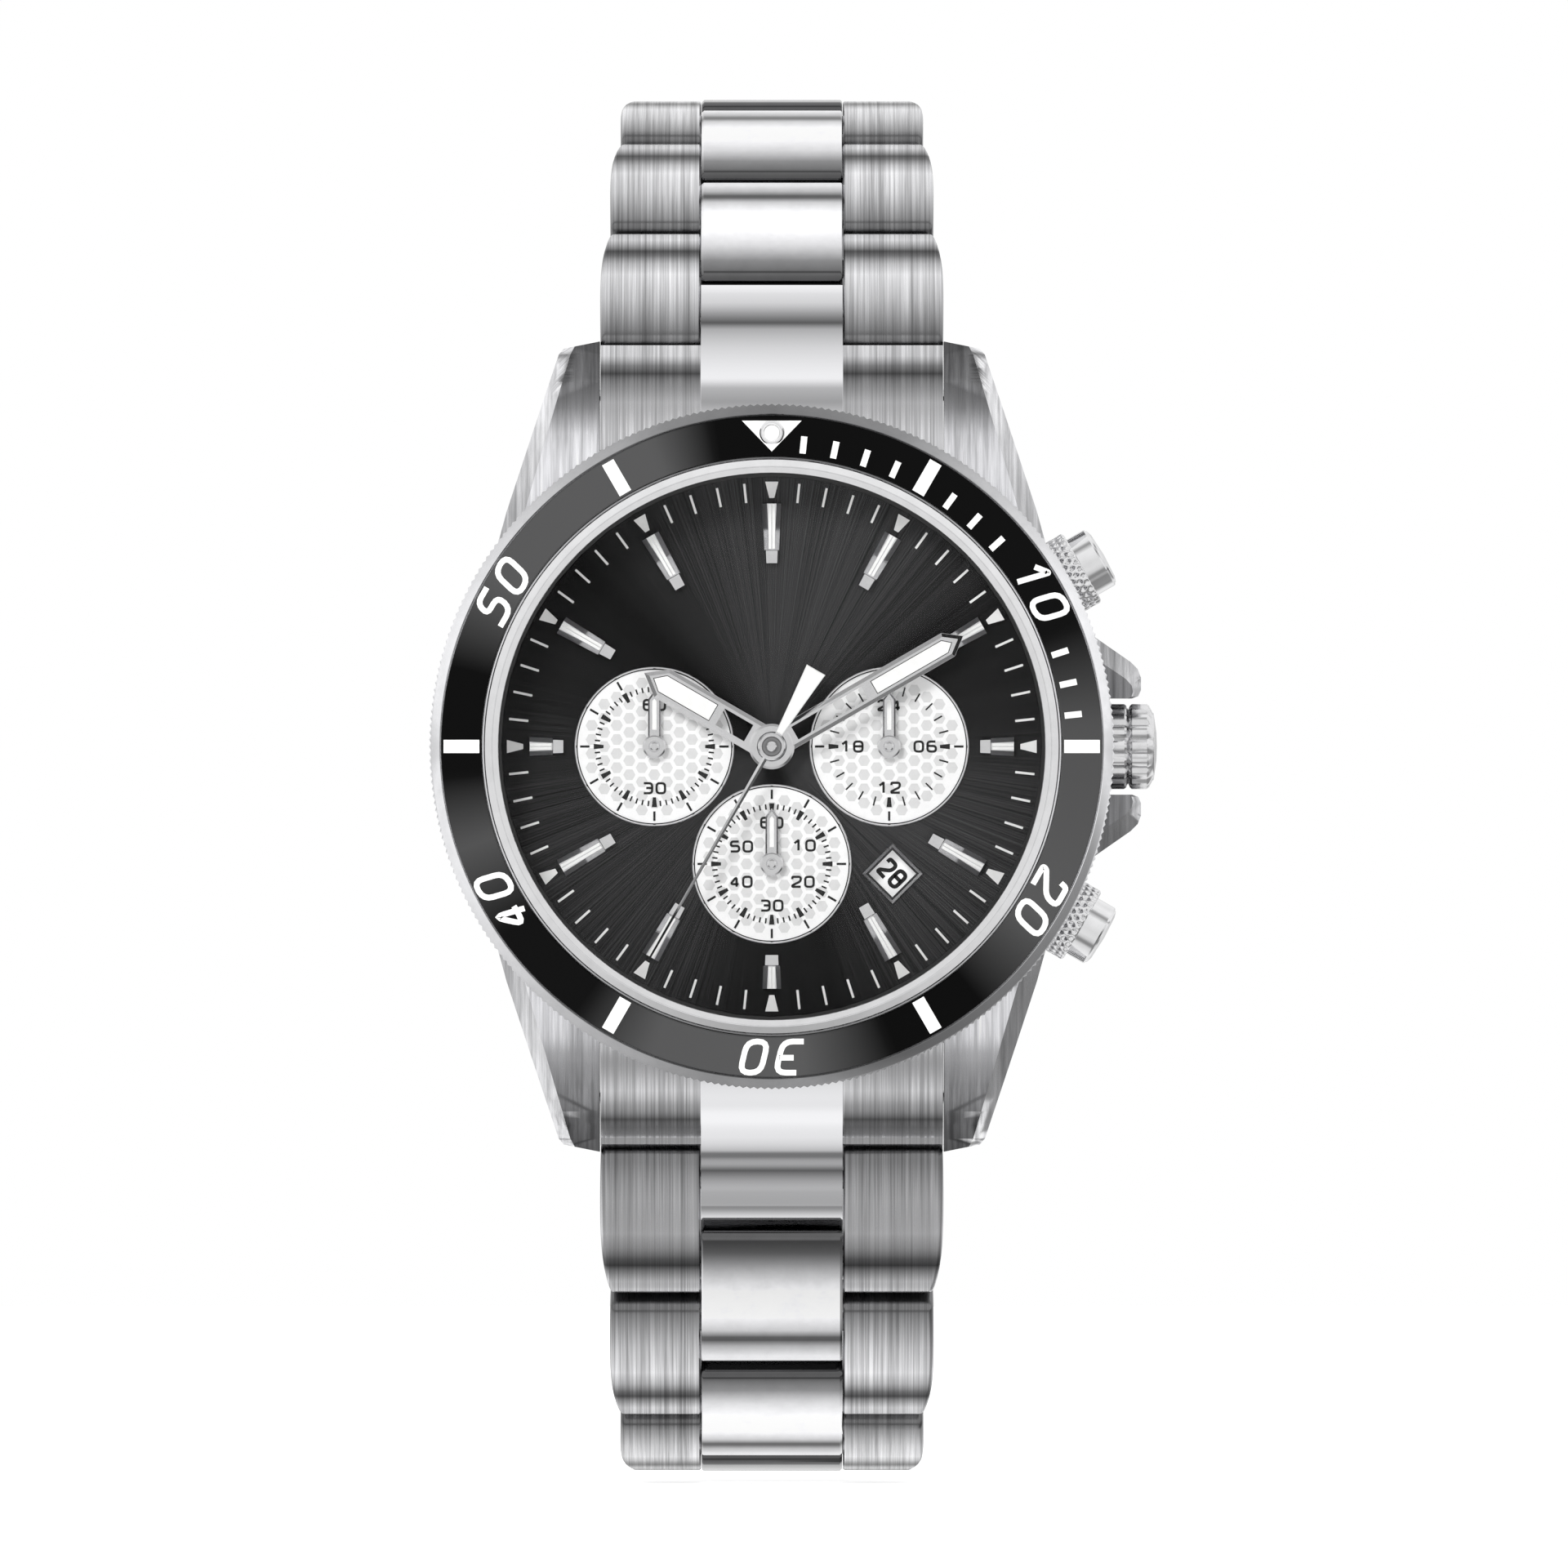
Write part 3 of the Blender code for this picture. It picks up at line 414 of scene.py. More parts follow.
class Look(Nodes):
    """A node material with helpers for the few textures the watch needs."""

    def __init__(self, name, colour, roughness, metallic=0.0):
        self.material = bpy.data.materials.new(name)
        self.material.use_nodes = True
        super().__init__(self.material.node_tree)
        self.shader = self.tree.nodes["Principled BSDF"]
        self.set("Base Color", (*colour, 1.0))
        self.set("Roughness", roughness)
        self.set("Metallic", metallic)
        self.material.diffuse_color = (*colour, 1.0)

    def set(self, socket, value):
        """Fill one of the shader's inputs from a value or another node's output."""
        self.fill(self.shader.inputs[socket], value)

    def point(self, kind="Object"):
        return self.node("ShaderNodeTexCoord").outputs[kind]

    def noise(self, vector, scale=1.0, detail=5.0, rough=0.65):
        made = self.node("ShaderNodeTexNoise")
        for name, value in (("Vector", vector), ("Scale", scale), ("Detail", detail), ("Roughness", rough)):
            self.fill(made.inputs[name], value)
        return made.outputs["Fac"]

    def stretched(self, scale):
        """Object coordinates, scaled evenly by a number or along each axis by three."""
        made = self.node("ShaderNodeMapping", self.point())
        made.inputs["Scale"].default_value = scale if isinstance(scale, tuple) else (scale, scale, scale)
        return made.outputs["Vector"]

    def bump(self, height, strength, distance=0.00001):
        made = self.node("ShaderNodeBump")
        for name, value in (("Strength", strength), ("Distance", distance), ("Height", height)):
            self.fill(made.inputs[name], value)
        self.set("Normal", made.outputs["Normal"])

    def blend(self, factor, a, b):
        """Plain numbers mixed by a factor."""
        return self.node("ShaderNodeMix", factor, None, a, b).outputs[0]

    def times(self, a, b):
        return self.mix(1.0, a, b, "MULTIPLY")

    def distance(self, axis, low, high):
        """How far the surface is from the middle along an axis, as a share from low to high millimetres."""
        away = self.math("ABSOLUTE", self.parts(self.point())[axis])
        return self.remap(away, low * MM, high * MM, 0.0, 1.0)

    def flat_point(self, operation):
        """The place on the dial plane, as a direction or a length."""
        flattened = self.node("ShaderNodeVectorMath", self.point(), (1.0, 0.0, 1.0), operation="MULTIPLY")
        return self.node("ShaderNodeVectorMath", flattened.outputs[0], operation=operation).outputs

    def clockwise(self):
        """Angle from 12 o'clock as a share of a turn."""
        xyz = self.parts(self.point())
        return self.math("FRACT", self.math("DIVIDE", self.math("ARCTAN2", xyz["X"], xyz["Z"]), TAU))


def grey(value):
    """A neutral colour, a touch towards blue."""
    return (value, value, value * 1.01)


def tones(*stops):
    """Grey ramp stops from (position, value) pairs."""
    return [(position, grey(value)) for position, value in stops]


def brushed(name, scale, dark=0.42, light=0.8, shade=None, side_scale=None):
    """Steel with straight brushed grain. scale stretches the grain: large across it, small along it.

    side_scale gives faces that don't look along the dial axis a grain of their own.
    """
    look = Look(name, grey(0.65), 0.3, 1.0)
    fine = look.noise(look.stretched(scale))
    broad = look.noise(look.stretched(tuple(s * 0.22 for s in scale)), detail=2.0)
    if side_scale:
        depth = look.parts(look.point("Normal"))["Y"]
        facing = look.remap(look.math("ABSOLUTE", depth), 0.45, 0.55, 0.0, 1.0)
        flank = look.noise(look.stretched(side_scale))
        broad = look.blend(facing, flank, broad)
        fine = look.blend(facing, flank, fine)
    both = look.math("MULTIPLY_ADD", broad, 0.45, fine)
    grain = look.ramp(look.remap(both, 0.52, 0.93, 0.0, 1.0), tones((0.0, dark), (1.0, light)))
    # shade, when given, paints light and shade into the colour: reflection bands on the links, shade and
    # reflection on the case
    look.set("Base Color", look.times(grain, shade(look)) if shade else grain)
    look.set("Roughness", look.remap(fine, 0.35, 0.65, 0.4, 0.22))
    look.bump(fine, 0.25)
    return look.material


def polished(name, colour=0.82, roughness=0.09, shade=None):
    """Mirror steel with faint wear."""
    look = Look(name, grey(colour), roughness, 1.0)
    wear = look.noise(look.stretched(900.0), detail=6.0)
    look.set("Roughness", look.remap(wear, 0.4, 0.75, roughness * 0.8, roughness * 1.8))
    tone = look.ramp(wear, tones((0.3, colour), (0.8, colour * 0.9)))
    # shade, when given, paints light and shade into the colour: reflection bands on the centre links,
    # reflection on the bezel rim
    look.set("Base Color", look.times(tone, shade(look)) if shade else tone)
    return look.material


def along_link(*stops):
    """Painted reflection: soft dark and bright bands across a link, placed along its own length."""
    def shade(look):
        share = look.node("ShaderNodeAttribute", attribute_name="along").outputs["Fac"]
        return look.ramp(share, tones(*stops))
    return shade


def rim_shade(look):
    """Painted reflection on the bezel's rim: darker at 12 and 6 o'clock and bright at its sides."""
    return look.ramp(look.clockwise(), tones(
        (0.0, 0.22), (0.06, 0.3), (0.12, 0.7), (0.18, 1.1), (0.3, 1.1), (0.37, 0.7), (0.45, 0.35),
        (0.53, 0.3), (0.6, 0.55), (0.68, 1.0), (0.8, 1.1), (0.88, 0.7), (0.95, 0.3), (1.0, 0.22)))


def case_shade(look):
    """Painted shade and reflection: lug tops darken towards their tips, the bevels brighten towards them, and
    the guards' tops are darker than their bevels.
    """
    tilt = look.math("ABSOLUTE", look.parts(look.point("Normal"))["X"])
    top = look.remap(tilt, 0.2, 0.4, 1.0, 0.0)
    lug_top = tones((0.0, 1.1), (0.25, 0.95), (0.45, 0.5), (0.7, 0.22), (1.0, 0.14))
    bevel = tones((0.0, 0.8), (0.3, 0.7), (0.7, 1.0), (1.0, 1.2))
    lug = look.ramp(look.distance("Z", 18.0, 26.0), lug_top)
    guard = look.ramp(look.distance("X", 20.6, 21.2), tones((0.0, 1.0), (1.0, 0.3)))
    return look.mix(top, look.ramp(look.distance("Z", 10.0, 26.0), bevel), look.times(lug, guard))


def end_link_steel():
    """Brushed outside with a polished centre row, chosen by the distance from the middle of the bracelet,
    with painted reflection: dark and bright bands across both by the distance from the dial's centre.
    """
    look = Look("end_link_steel", grey(0.7), 0.3, 1.0)
    away = look.math("ABSOLUTE", look.parts(look.point())["X"])
    edge = (CENTRE_HALF_W + 0.02) * MM
    side = look.remap(away, edge - 0.00001, edge + 0.00001, 0.0, 1.0)
    fine = look.noise(look.stretched((7000.0, 60.0, 60.0)))
    grain = look.ramp(fine, tones((0.38, 0.5), (0.62, 0.85)))
    # outer and centre are painted reflection: dark and bright bands in the colour by the distance from the
    # dial's centre
    outer = look.ramp(look.distance("Z", 18.5, 26.2), tones(
        (0.0, 0.9), (0.45, 1.05), (0.6, 0.5), (0.69, 0.1), (0.76, 0.3), (0.84, 0.85), (1.0, 0.95)))
    centre = look.ramp(look.distance("Z", 20.0, 30.0), tones(
        (0.0, 1.1), (0.35, 1.1), (0.55, 0.8), (0.67, 0.55), (0.71, 0.14), (0.76, 0.4), (0.84, 0.8),
        (1.0, 1.1)))
    steel = look.mix(side, (*grey(0.84), 1.0), grain)
    look.set("Base Color", look.times(steel, look.mix(side, centre, outer)))
    spread = look.math("SUBTRACT", look.remap(fine, 0.35, 0.65, 0.4, 0.24), 0.09)
    look.set("Roughness", look.math("MULTIPLY_ADD", spread, side, 0.09))
    return look.material


def sunburst():
    """Black dial with fine radial brushing, and broad light and dark sectors that are painted reflection."""
    look = Look("dial_sunburst", (0.02, 0.02, 0.02), 0.38)
    fine = look.noise(look.flat_point("NORMALIZE")[0], 190.0, 4.0, 0.7)
    # painted reflection: light and dark sectors of the sunburst, set into the colour by angle
    painted_sector_reflection = look.ramp(look.clockwise(), tones(
        (0.0, 0.042), (0.1, 0.036), (0.17, 0.008), (0.23, 0.016), (0.31, 0.044), (0.4, 0.036), (0.46, 0.007),
        (0.52, 0.01), (0.58, 0.034), (0.68, 0.03), (0.78, 0.012), (0.87, 0.004), (0.94, 0.026), (1.0, 0.042)))
    look.set("Base Color", look.times(painted_sector_reflection, look.ramp(fine, tones((0.4, 0.5), (0.62, 1.6)))))
    look.set("Specular IOR Level", 0.04)
    look.bump(fine, 0.2, 0.00002)
    return look.material


def insert_black():
    """Gloss black bezel insert, with soft grey sectors painted into its colour as reflection."""
    look = Look("bezel_gloss", (0.01, 0.01, 0.01), 0.16)
    # painted reflection: grey sectors round the insert, turning with the bezel
    look.set("Base Color", look.ramp(look.clockwise(), tones(
        (0.0, 0.0015), (0.19, 0.003), (0.24, 0.065), (0.34, 0.075), (0.39, 0.0015), (0.44, 0.0015),
        (0.485, 0.075), (0.56, 0.07), (0.6, 0.003), (0.655, 0.003), (0.7, 0.06), (0.735, 0.002),
        (0.79, 0.002), (0.835, 0.07), (0.94, 0.075), (0.97, 0.0015))))
    look.set("Roughness", look.remap(look.noise(look.stretched(500.0)), 0.3, 0.7, 0.12, 0.2))
    look.set("Specular IOR Level", 0.05)
    return look.material


def painted(name, colour, roughness, scale=1500.0, spread=0.06, glow=0.0):
    """A plain coat with a little grain in its colour and surface, and a glow where one is asked for: painted
    light on the date disc, an even brightness on the floor.
    """
    look = Look(name, colour, roughness)
    grain = look.noise(look.stretched(scale), detail=3.0)
    darker = tuple(c * (1.0 - spread) for c in colour)
    look.set("Base Color", look.ramp(grain, [(0.3, darker), (0.7, colour)]))
    look.bump(grain, 0.08)
    look.set("Emission Color", WHITE)
    look.set("Emission Strength", glow)
    return look.material


def glass():
    """Clear crystal: see-through, with a thin coat of reflection."""
    look = Look("crystal_clear", (0.01, 0.01, 0.01), 0.02)
    look.set("Alpha", 0.05)
    look.set("IOR", 1.5)
    smear = look.noise(look.stretched(120.0), detail=2.0)
    look.set("Roughness", look.remap(smear, 0.3, 0.7, 0.01, 0.04))
    return look.material


def circular_steel(name, colour, roughness):
    """Turned metal: rings of fine grain round the dial axis."""
    look = Look(name, colour, roughness, 1.0)
    grain = look.node("ShaderNodeTexNoise", noise_dimensions="1D")
    look.fill(grain.inputs["W"], look.math("MULTIPLY", look.flat_point("LENGTH")["Value"], 9000.0))
    look.fill(grain.inputs["Scale"], 1.0)
    shade = tuple(c * 0.62 for c in colour)
    look.set("Base Color", look.ramp(grain.outputs["Fac"], [(0.35, shade), (0.65, colour)]))
    look.bump(grain.outputs["Fac"], 0.2)
    return look.material


# painted reflection: dark and bright bands in the links' colour that stand in for the reflected surroundings
OUTER_PAINTED_REFLECTION = along_link((0.0, 0.25), (0.12, 0.45), (0.34, 0.85), (0.56, 1.1), (0.66, 0.7), (0.74, 0.22),
                         (0.785, 0.1), (0.82, 0.35), (0.9, 0.9), (1.0, 0.8))
CENTRE_PAINTED_REFLECTION = along_link((0.0, 0.12), (0.14, 0.3), (0.28, 0.85), (0.42, 1.2), (0.62, 1.2), (0.72, 0.75),
                          (0.775, 0.14), (0.8, 0.12), (0.85, 0.55), (0.93, 1.0), (1.0, 0.9))
LINK_STEEL = brushed("link_brushed", (7000.0, 60.0, 60.0), 0.4, 0.95, OUTER_PAINTED_REFLECTION)
# case_shade paints shade and reflection into the case steel's colour
CASE_STEEL = brushed("case_brushed", (3600.0, 300.0, 90.0), 0.45, 0.95, case_shade, (60.0, 6000.0, 60.0))
PLAIN_STEEL = brushed("clasp_brushed", (7000.0, 60.0, 60.0), 0.5, 0.85)
CENTRE_STEEL = polished("link_polished", 0.88, 0.1, CENTRE_PAINTED_REFLECTION)
MIRROR = polished("polished_steel", 0.84, 0.07)
# rim_shade paints reflection into the bezel rim's colour
RIM = polished("bezel_polished", 0.85, 0.14, rim_shade)
END_LINK = end_link_steel()
DIAL_BLACK = sunburst()
INSERT = insert_black()
CRYSTAL = glass()
LUME = painted("lume_white", (0.95, 0.95, 0.94), 0.5)
WHITE_PRINT = painted("white_print", (0.93, 0.93, 0.92), 0.55)
BLACK_PRINT = painted("black_print", (0.008, 0.008, 0.008), 0.5)
SUBDIAL_WHITE = painted("subdial_white", (0.97, 0.97, 0.97), 0.45)
HEX_GREY = painted("subdial_grey", (0.74, 0.74, 0.74), 0.5)
# the date disc's glow is painted light that lifts it out of the shade under the window frame
DATE_WHITE_PAINTED_GLOW = painted("date_white", (1.0, 1.0, 1.0), 0.5, spread=0.02, glow=0.3)
SATIN = polished("crown_satin", 0.8, 0.22)
HUB_GREY = circular_steel("hub_grey", grey(0.34), 0.3)
RUBBER = painted("gasket_black", (0.015, 0.015, 0.015), 0.7, 3000.0, 0.3)
NYLON = painted("holder_nylon", (0.72, 0.72, 0.69), 0.5, 900.0, 0.1)
BRASS = circular_steel("plate_brass", (0.72, 0.56, 0.3), 0.32)
BACK_STEEL = circular_steel("back_steel", grey(0.66), 0.28)


# ---------------------------------------------------------------- finished pieces
def new_object(name, solid, frame_matrix):
    """A mesh object in metres with its faces turned outwards."""
    verts, faces = solid
    mesh = bpy.data.meshes.new(name)
    mesh.from_pydata([tuple(frame_matrix @ Vector(v)) for v in verts], [], faces)
    bm = bmesh.new()
    bm.from_mesh(mesh)
    bmesh.ops.remove_doubles(bm, verts=bm.verts, dist=1e-6)
    bmesh.ops.recalc_face_normals(bm, faces=bm.faces)
    bmesh.ops.scale(bm, vec=(MM, MM, MM), verts=bm.verts)
    bm.to_mesh(mesh)
    bm.free()
    obj = bpy.data.objects.new(name, mesh)
    bpy.context.scene.collection.objects.link(obj)
    return obj


def combine(obj, solid, frame_matrix=DIAL, operation="DIFFERENCE"):
    """Cut a solid out of an object, or join it on, for good."""
    other = new_object("tool", solid, frame_matrix)
    modifier = obj.modifiers.new("combine", "BOOLEAN")
    modifier.object = other
    modifier.operation = operation
    modifier.solver = "EXACT"
    graph = bpy.context.evaluated_depsgraph_get()
    mesh = bpy.data.meshes.new_from_object(obj.evaluated_get(graph))
    obj.modifiers.clear()
    obj.data = mesh
    bpy.data.objects.remove(other, do_unlink=True)
    return obj


def finish(obj, body, material, slot, replaces=(), sharp=30.0, bevel=0.0):
    """Material, smooth shading and the body that the piece rides on."""
    obj.data.materials.clear()
    obj.data.materials.append(material)
    obj.data.shade_smooth()
    obj.data.set_sharp_from_angle(angle=math.radians(sharp))
    if bevel:
        add_bevel(obj, bevel)
    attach(obj, body)
    if replaces:
        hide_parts(*replaces)
    return obj


def piece(name, solid, body, material, slot, frame_matrix=DIAL, **options):
    """Build, dress and mount one piece."""
    return finish(new_object(name, solid, frame_matrix), body, material, slot, **options)


def add_bevel(obj, width, angle=35.0):
    """Small rounded edges on a finished solid."""
    modifier = obj.modifiers.new("edges", "BEVEL")
    modifier.width = width * MM
    modifier.segments = 2
    modifier.limit_method = "ANGLE"
    modifier.angle_limit = math.radians(angle)
    modifier.use_clamp_overlap = True
    modifier.harden_normals = False


def dress(node, material, bevel=0.0):
    """A CAD node that stays gets its material and soft edges."""
    obj = frame["nodes"][node]
    obj.data.materials.clear()
    obj.data.materials.append(material)
    if bevel:
        weld = obj.modifiers.new("weld", "WELD")
        weld.merge_threshold = 1e-6
        add_bevel(obj, bevel)


# ---------------------------------------------------------------- case
def build_case():
    """Case band with its seat for the crystal, four lugs with bevelled outer edges, and crown guards."""
    corner = math.asin(LUG_IN / LUG_NOTCH_R)
    start = math.acos(LUG_IN / CASE_R)
    notch = [(LUG_NOTCH_R * math.sin(corner * k / 12), LUG_NOTCH_R * math.cos(corner * k / 12))
             for k in range(-12, 13)]
    bends = [start * k / 24 for k in range(24, -25, -1)]
    flank = [(CASE_R * math.cos(a), CASE_R * math.sin(a)) for a in bends]
    outline = notch + flank + [(x, -z) for x, z in reversed(notch)] + [(-x, z) for x, z in reversed(flank)]
    case = new_object("case_shell", prism(outline, CASE_LOW, CASE_TOP), DIAL)
    for sx in (1, -1):
        for sz in (1, -1):
            combine(case, lug(sx, sz), DIAL, "UNION")
    wall = [(16.5, 5.0), (18.25, 5.0), (18.25, TURRET_H - 0.2), (18.05, TURRET_H), (16.5, TURRET_H)]
    combine(case, lathe(wall, 128), DIAL, "UNION")
    for sz in (1, -1):
        combine(case, guard(sz), DIAL, "UNION")
    bore = [(0.01, -3.0), (17.6, -3.0), (17.6, 7.5), (17.3, 7.5), (17.3, 9.4), (17.5, 9.4), (17.5, 13.0),
            (0.01, 13.0)]
    combine(case, lathe(bore, 128))
    for degrees, radius in ((0.0, CROWN_HOLE_R), (PUSHER_DEG, PUSHER_HOLE_R), (-PUSHER_DEG, PUSHER_HOLE_R)):
        combine(case, prism(circle(radius, 24), 15.0, 26.0), radial(degrees))
    for degrees in (PUSHER_DEG, -PUSHER_DEG):
        combine(case, prism(circle(POCKET_R, 32), 21.2, 27.0), radial(degrees))
    for side in (1, -1):
        combine(case, prism(circle(0.85, 16, LUG_BAR_AT), -11.9, 11.9), across(side))
    finish(case, "head", CASE_STEEL, "steel_brushed", ["mid_case"], sharp=24.0, bevel=0.07)


def lug(sx, sz):
    """One lug: brushed top, bevelled outer edge that narrows to the tip, tip cut at a slant."""
    (x0, z0), (x1, z1) = LUG_LINE
    rings = []
    for z, low, top in LUG_PROFILE:
        outer = min(x0 + (z0 - z) * (x1 - x0) / (z0 - z1), 20.2 if z < 5.0 else 99.0)
        bevel = 0.75 + 0.75 * (z0 - z) / (z0 - z1)
        rings.append([(x, z, h) for x, h in section(outer, low, top, bevel)])
    rings.append([(x, 25.9 - 0.2 * (x - LUG_IN), h) for x, h in section(LUG_TIP_X, -0.5, 3.5, 0.7)])
    return loft([[(sx * x, sz * z, h) for x, z, h in ring] for ring in rings])


def section(outer, low, top, bevel):
    """Cross-section of a lug in (x, h)."""
    return [(LUG_IN, low), (outer - 0.5, low), (outer, low + 0.5), (outer, top - bevel * 0.95),
            (outer - bevel, top), (LUG_IN, top)]


def guard(sz):
    """One crown guard with a broad bevel along its slanted outer edge."""
    plan = [(18.0, 3.07), (23.0, 3.07), (23.4, 3.22), (23.56, 3.6), (23.56, 4.4), (23.35, 4.95), (22.9, 5.4),
            (20.6, 7.0), (18.0, 7.8)]
    inner = [(18.0, 3.07), (22.7, 3.07), (22.95, 3.2), (23.05, 3.5), (22.95, 3.9), (22.6, 4.3), (22.1, 4.65),
             (20.2, 5.9), (18.0, 6.8)]
    rings = [(1.7, inner), (2.3, plan), (6.7, plan), (7.6, inner)]
    return loft([[(x, sz * z, h) for x, z in ring] for h, ring in rings])


# ---------------------------------------------------------------- bezel and crystal
def cone(x, z):
    """Height of the bezel insert's sloping face."""
    share = (INSERT_OUT - math.hypot(x, z)) / (INSERT_OUT - INSERT_IN)
    return INSERT_OUT_H + share * (INSERT_IN_H - INSERT_OUT_H)


def build_bezel():
    """Coin-edged ring, gloss insert with its scale, and the luminous pearl."""
    profile = [(18.35, 8.45), (21.4, 8.45), (21.7, 8.6), (COIN_R, 8.75), (COIN_R, 10.25), (21.7, 10.4),
               (21.66, 10.46), (21.2, 10.95), (21.12, 10.9), (21.1, 10.5), (18.45, 10.9), (18.35, 10.9)]

    def edge(i, k):
        return COIN_DEPTH * (i % 2) if k in (3, 4) else 0.0

    piece("bezel_coin_ring", lathe(profile, COIN_TEETH * 2, edge), "bezel", RIM, "steel_polished",
          replaces=["bezel_ring"], sharp=25.0)
    near, far = INSERT_IN + 0.08, INSERT_OUT - 0.05
    face = [(INSERT_IN, INSERT_IN_H - 0.35), (21.0, 10.62), (INSERT_OUT, 10.7),
            (INSERT_OUT, INSERT_OUT_H - 0.05), (far, cone(far, 0.0)), (near, cone(near, 0.0)),
            (INSERT_IN, INSERT_IN_H - 0.07)]
    piece("bezel_gloss_insert", lathe(face, 192), "bezel", INSERT, "bezel_black", replaces=["bezel_insert"])

    marks = []
    for minute in range(5, 60, 5):
        if minute % 10:
            marks += arc_bar(minute, 0.42, 18.62, 20.9)
    for minute in (1, 2, 3, 4, 6, 7, 8, 12, 13, 14):
        marks += arc_bar(minute, 0.2, 18.75, 19.85)
    triangle = [(-1.9, 20.75), (1.9, 20.75), (0.0, 18.78)]
    marks.append(draped(split_edges(triangle, 6), cone))
    for tens in (10, 20, 30, 40, 50):
        turn = tens * 6.0

        def place_at(x, y, turn=turn):
            return turned_plan([(x, y + 19.78)], turn)[0]

        marks += figures(str(tens), 2.35, 1.68, 0.6, 0.36, place_at, cone, slant=0.24, radius=0.7)
    piece("bezel_scale", joined(marks), "bezel", WHITE_PRINT, "date_white")
    ring = lathe([(0.52, 11.1), (0.78, 11.1), (0.78, 11.36), (0.7, 11.46), (0.6, 11.48), (0.52, 11.34)], 48)
    dome = lathe([(0.005, 11.1), (0.5, 11.1), (0.5, 11.3), (0.3, 11.38), (0.005, 11.41)], 32)
    at = DIAL @ Matrix.Translation((0.0, PEARL_Z, 0.03))
    piece("bezel_pearl_ring", ring, "bezel", MIRROR, "steel_polished", at)
    piece("bezel_pearl", dome, "bezel", LUME, "date_white", at)


def split_edges(outline, parts):
    """Outline with each edge cut into equal parts, so that it can follow a curved face."""
    result = []
    for i, a in enumerate(outline):
        b = outline[(i + 1) % len(outline)]
        result += [(a[0] + (b[0] - a[0]) * k / parts, a[1] + (b[1] - a[1]) * k / parts) for k in range(parts)]
    return result


def arc_bar(minute, half, inner, outer):
    """A straight mark on the bezel scale."""
    outline = [(-half, inner), (half, inner), (half, outer), (-half, outer)]
    return [draped(turned_plan(split_edges(outline, 3), minute * 6.0), cone)]


def build_crystal():
    """Crystal with a bevelled edge, and the two bright rings that hold it."""
    low = -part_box("crystal")[1].y / MM
    lens = [(0.01, low), (17.15, low), (17.2, low + 0.05), (17.2, CRYSTAL_H - 0.4), (16.85, CRYSTAL_H - 0.03),
            (0.01, CRYSTAL_H)]
    piece("crystal_lens", lathe(lens, 128), "head", CRYSTAL, "crystal_glass", replaces=["crystal"])
    rises = [(17.4, -0.3), (18.2, -0.3), (18.3, 0.02), (18.27, 0.07), (17.86, 0.2), (17.84, 0.12),
             (17.81, 0.12), (17.79, 0.17), (17.44, 0.17), (17.4, 0.12)]
    ring = lathe([(r, TURRET_H + rise) for r, rise in rises], 160)
    piece("crystal_ring", ring, "head", MIRROR, "steel_polished", sharp=12.0)


# ---------------------------------------------------------------- dial
def build_dial():
    """Minute track, batons, sub-dials and the date window."""
    dress("dial", DIAL_BLACK)
    above = flat(DIAL_H)
    ticks = []
    for minute in range(60):
        if minute % 5:
            outline = [(-0.075, 15.62), (0.075, 15.62), (0.075, 16.85), (-0.075, 16.85)]
        else:
            outline = [(-0.16, 15.86), (0.16, 15.86), (0.42, 16.9), (-0.42, 16.9)]
        ticks.append(draped(turned_plan(outline, minute * 6.0), above))
    piece("minute_track", joined(ticks), "head", WHITE_PRINT, "date_white")
    build_batons()
    for name, centre in SUBDIALS.items():
        build_subdial(name, centre)
    build_date()


def build_batons():
    """Applied hour batons: faceted steel, a luminous stripe and a plain inner block."""
    steel, lume, blocks = [], [], []
    for hour in range(12):
        short = hour in (3, 6, 9)
        inner, split, outer = (13.3, 13.95, 15.45) if short else (11.7, 12.5, 15.5)
        half_in, half_out = (0.5, 0.6) if short else (0.44, 0.6)
        half_split = half_in + (half_out - half_in) * (split - inner) / (outer - inner)
        start = split + 0.03
        body = [(-half_split, start), (half_split, start), (half_out, outer), (-half_out, outer)]
        block = [(-half_in, inner), (half_in, inner), (half_split, split), (-half_split, split)]
        steel.append(roof(body, 0.3, hour * 30.0, 0.12, 0.42))
        blocks.append(roof(block, 0.1, hour * 30.0, 0.2, 0.42))
        for a, b in ((-0.2, -0.03), (0.03, 0.2)):
            stripe = [(a, split + 0.12), (b, split + 0.12), (b, outer - 0.02), (a, outer - 0.02)]
            lume.append(prism(turned_plan(stripe, hour * 30.0), DIAL_H + 0.2, DIAL_H + 0.45))
    piece("hour_batons", joined(steel), "head", MIRROR, "steel_polished", sharp=10.0)
    piece("hour_baton_blocks", joined(blocks), "head", MIRROR, "steel_polished", sharp=10.0)
    piece("hour_baton_lume", joined(lume), "head", LUME, "date_white")


def roof(outline, slope, degrees, edge, height):
    """A faceted block on the dial: upright sides, then slopes up to a narrower top."""
    sides = [(x, z, DIAL_H - 0.02) for x, z in outline], [(x, z, DIAL_H + edge) for x, z in outline]
    shrink = [(math.copysign(abs(x) - slope, x), z) for x, z in outline]
    rings = [*sides, [(x, z, DIAL_H + height) for x, z in shrink]]
    return loft([[(*turned_plan([(x, z)], degrees)[0], h) for x, z, h in ring] for ring in rings])


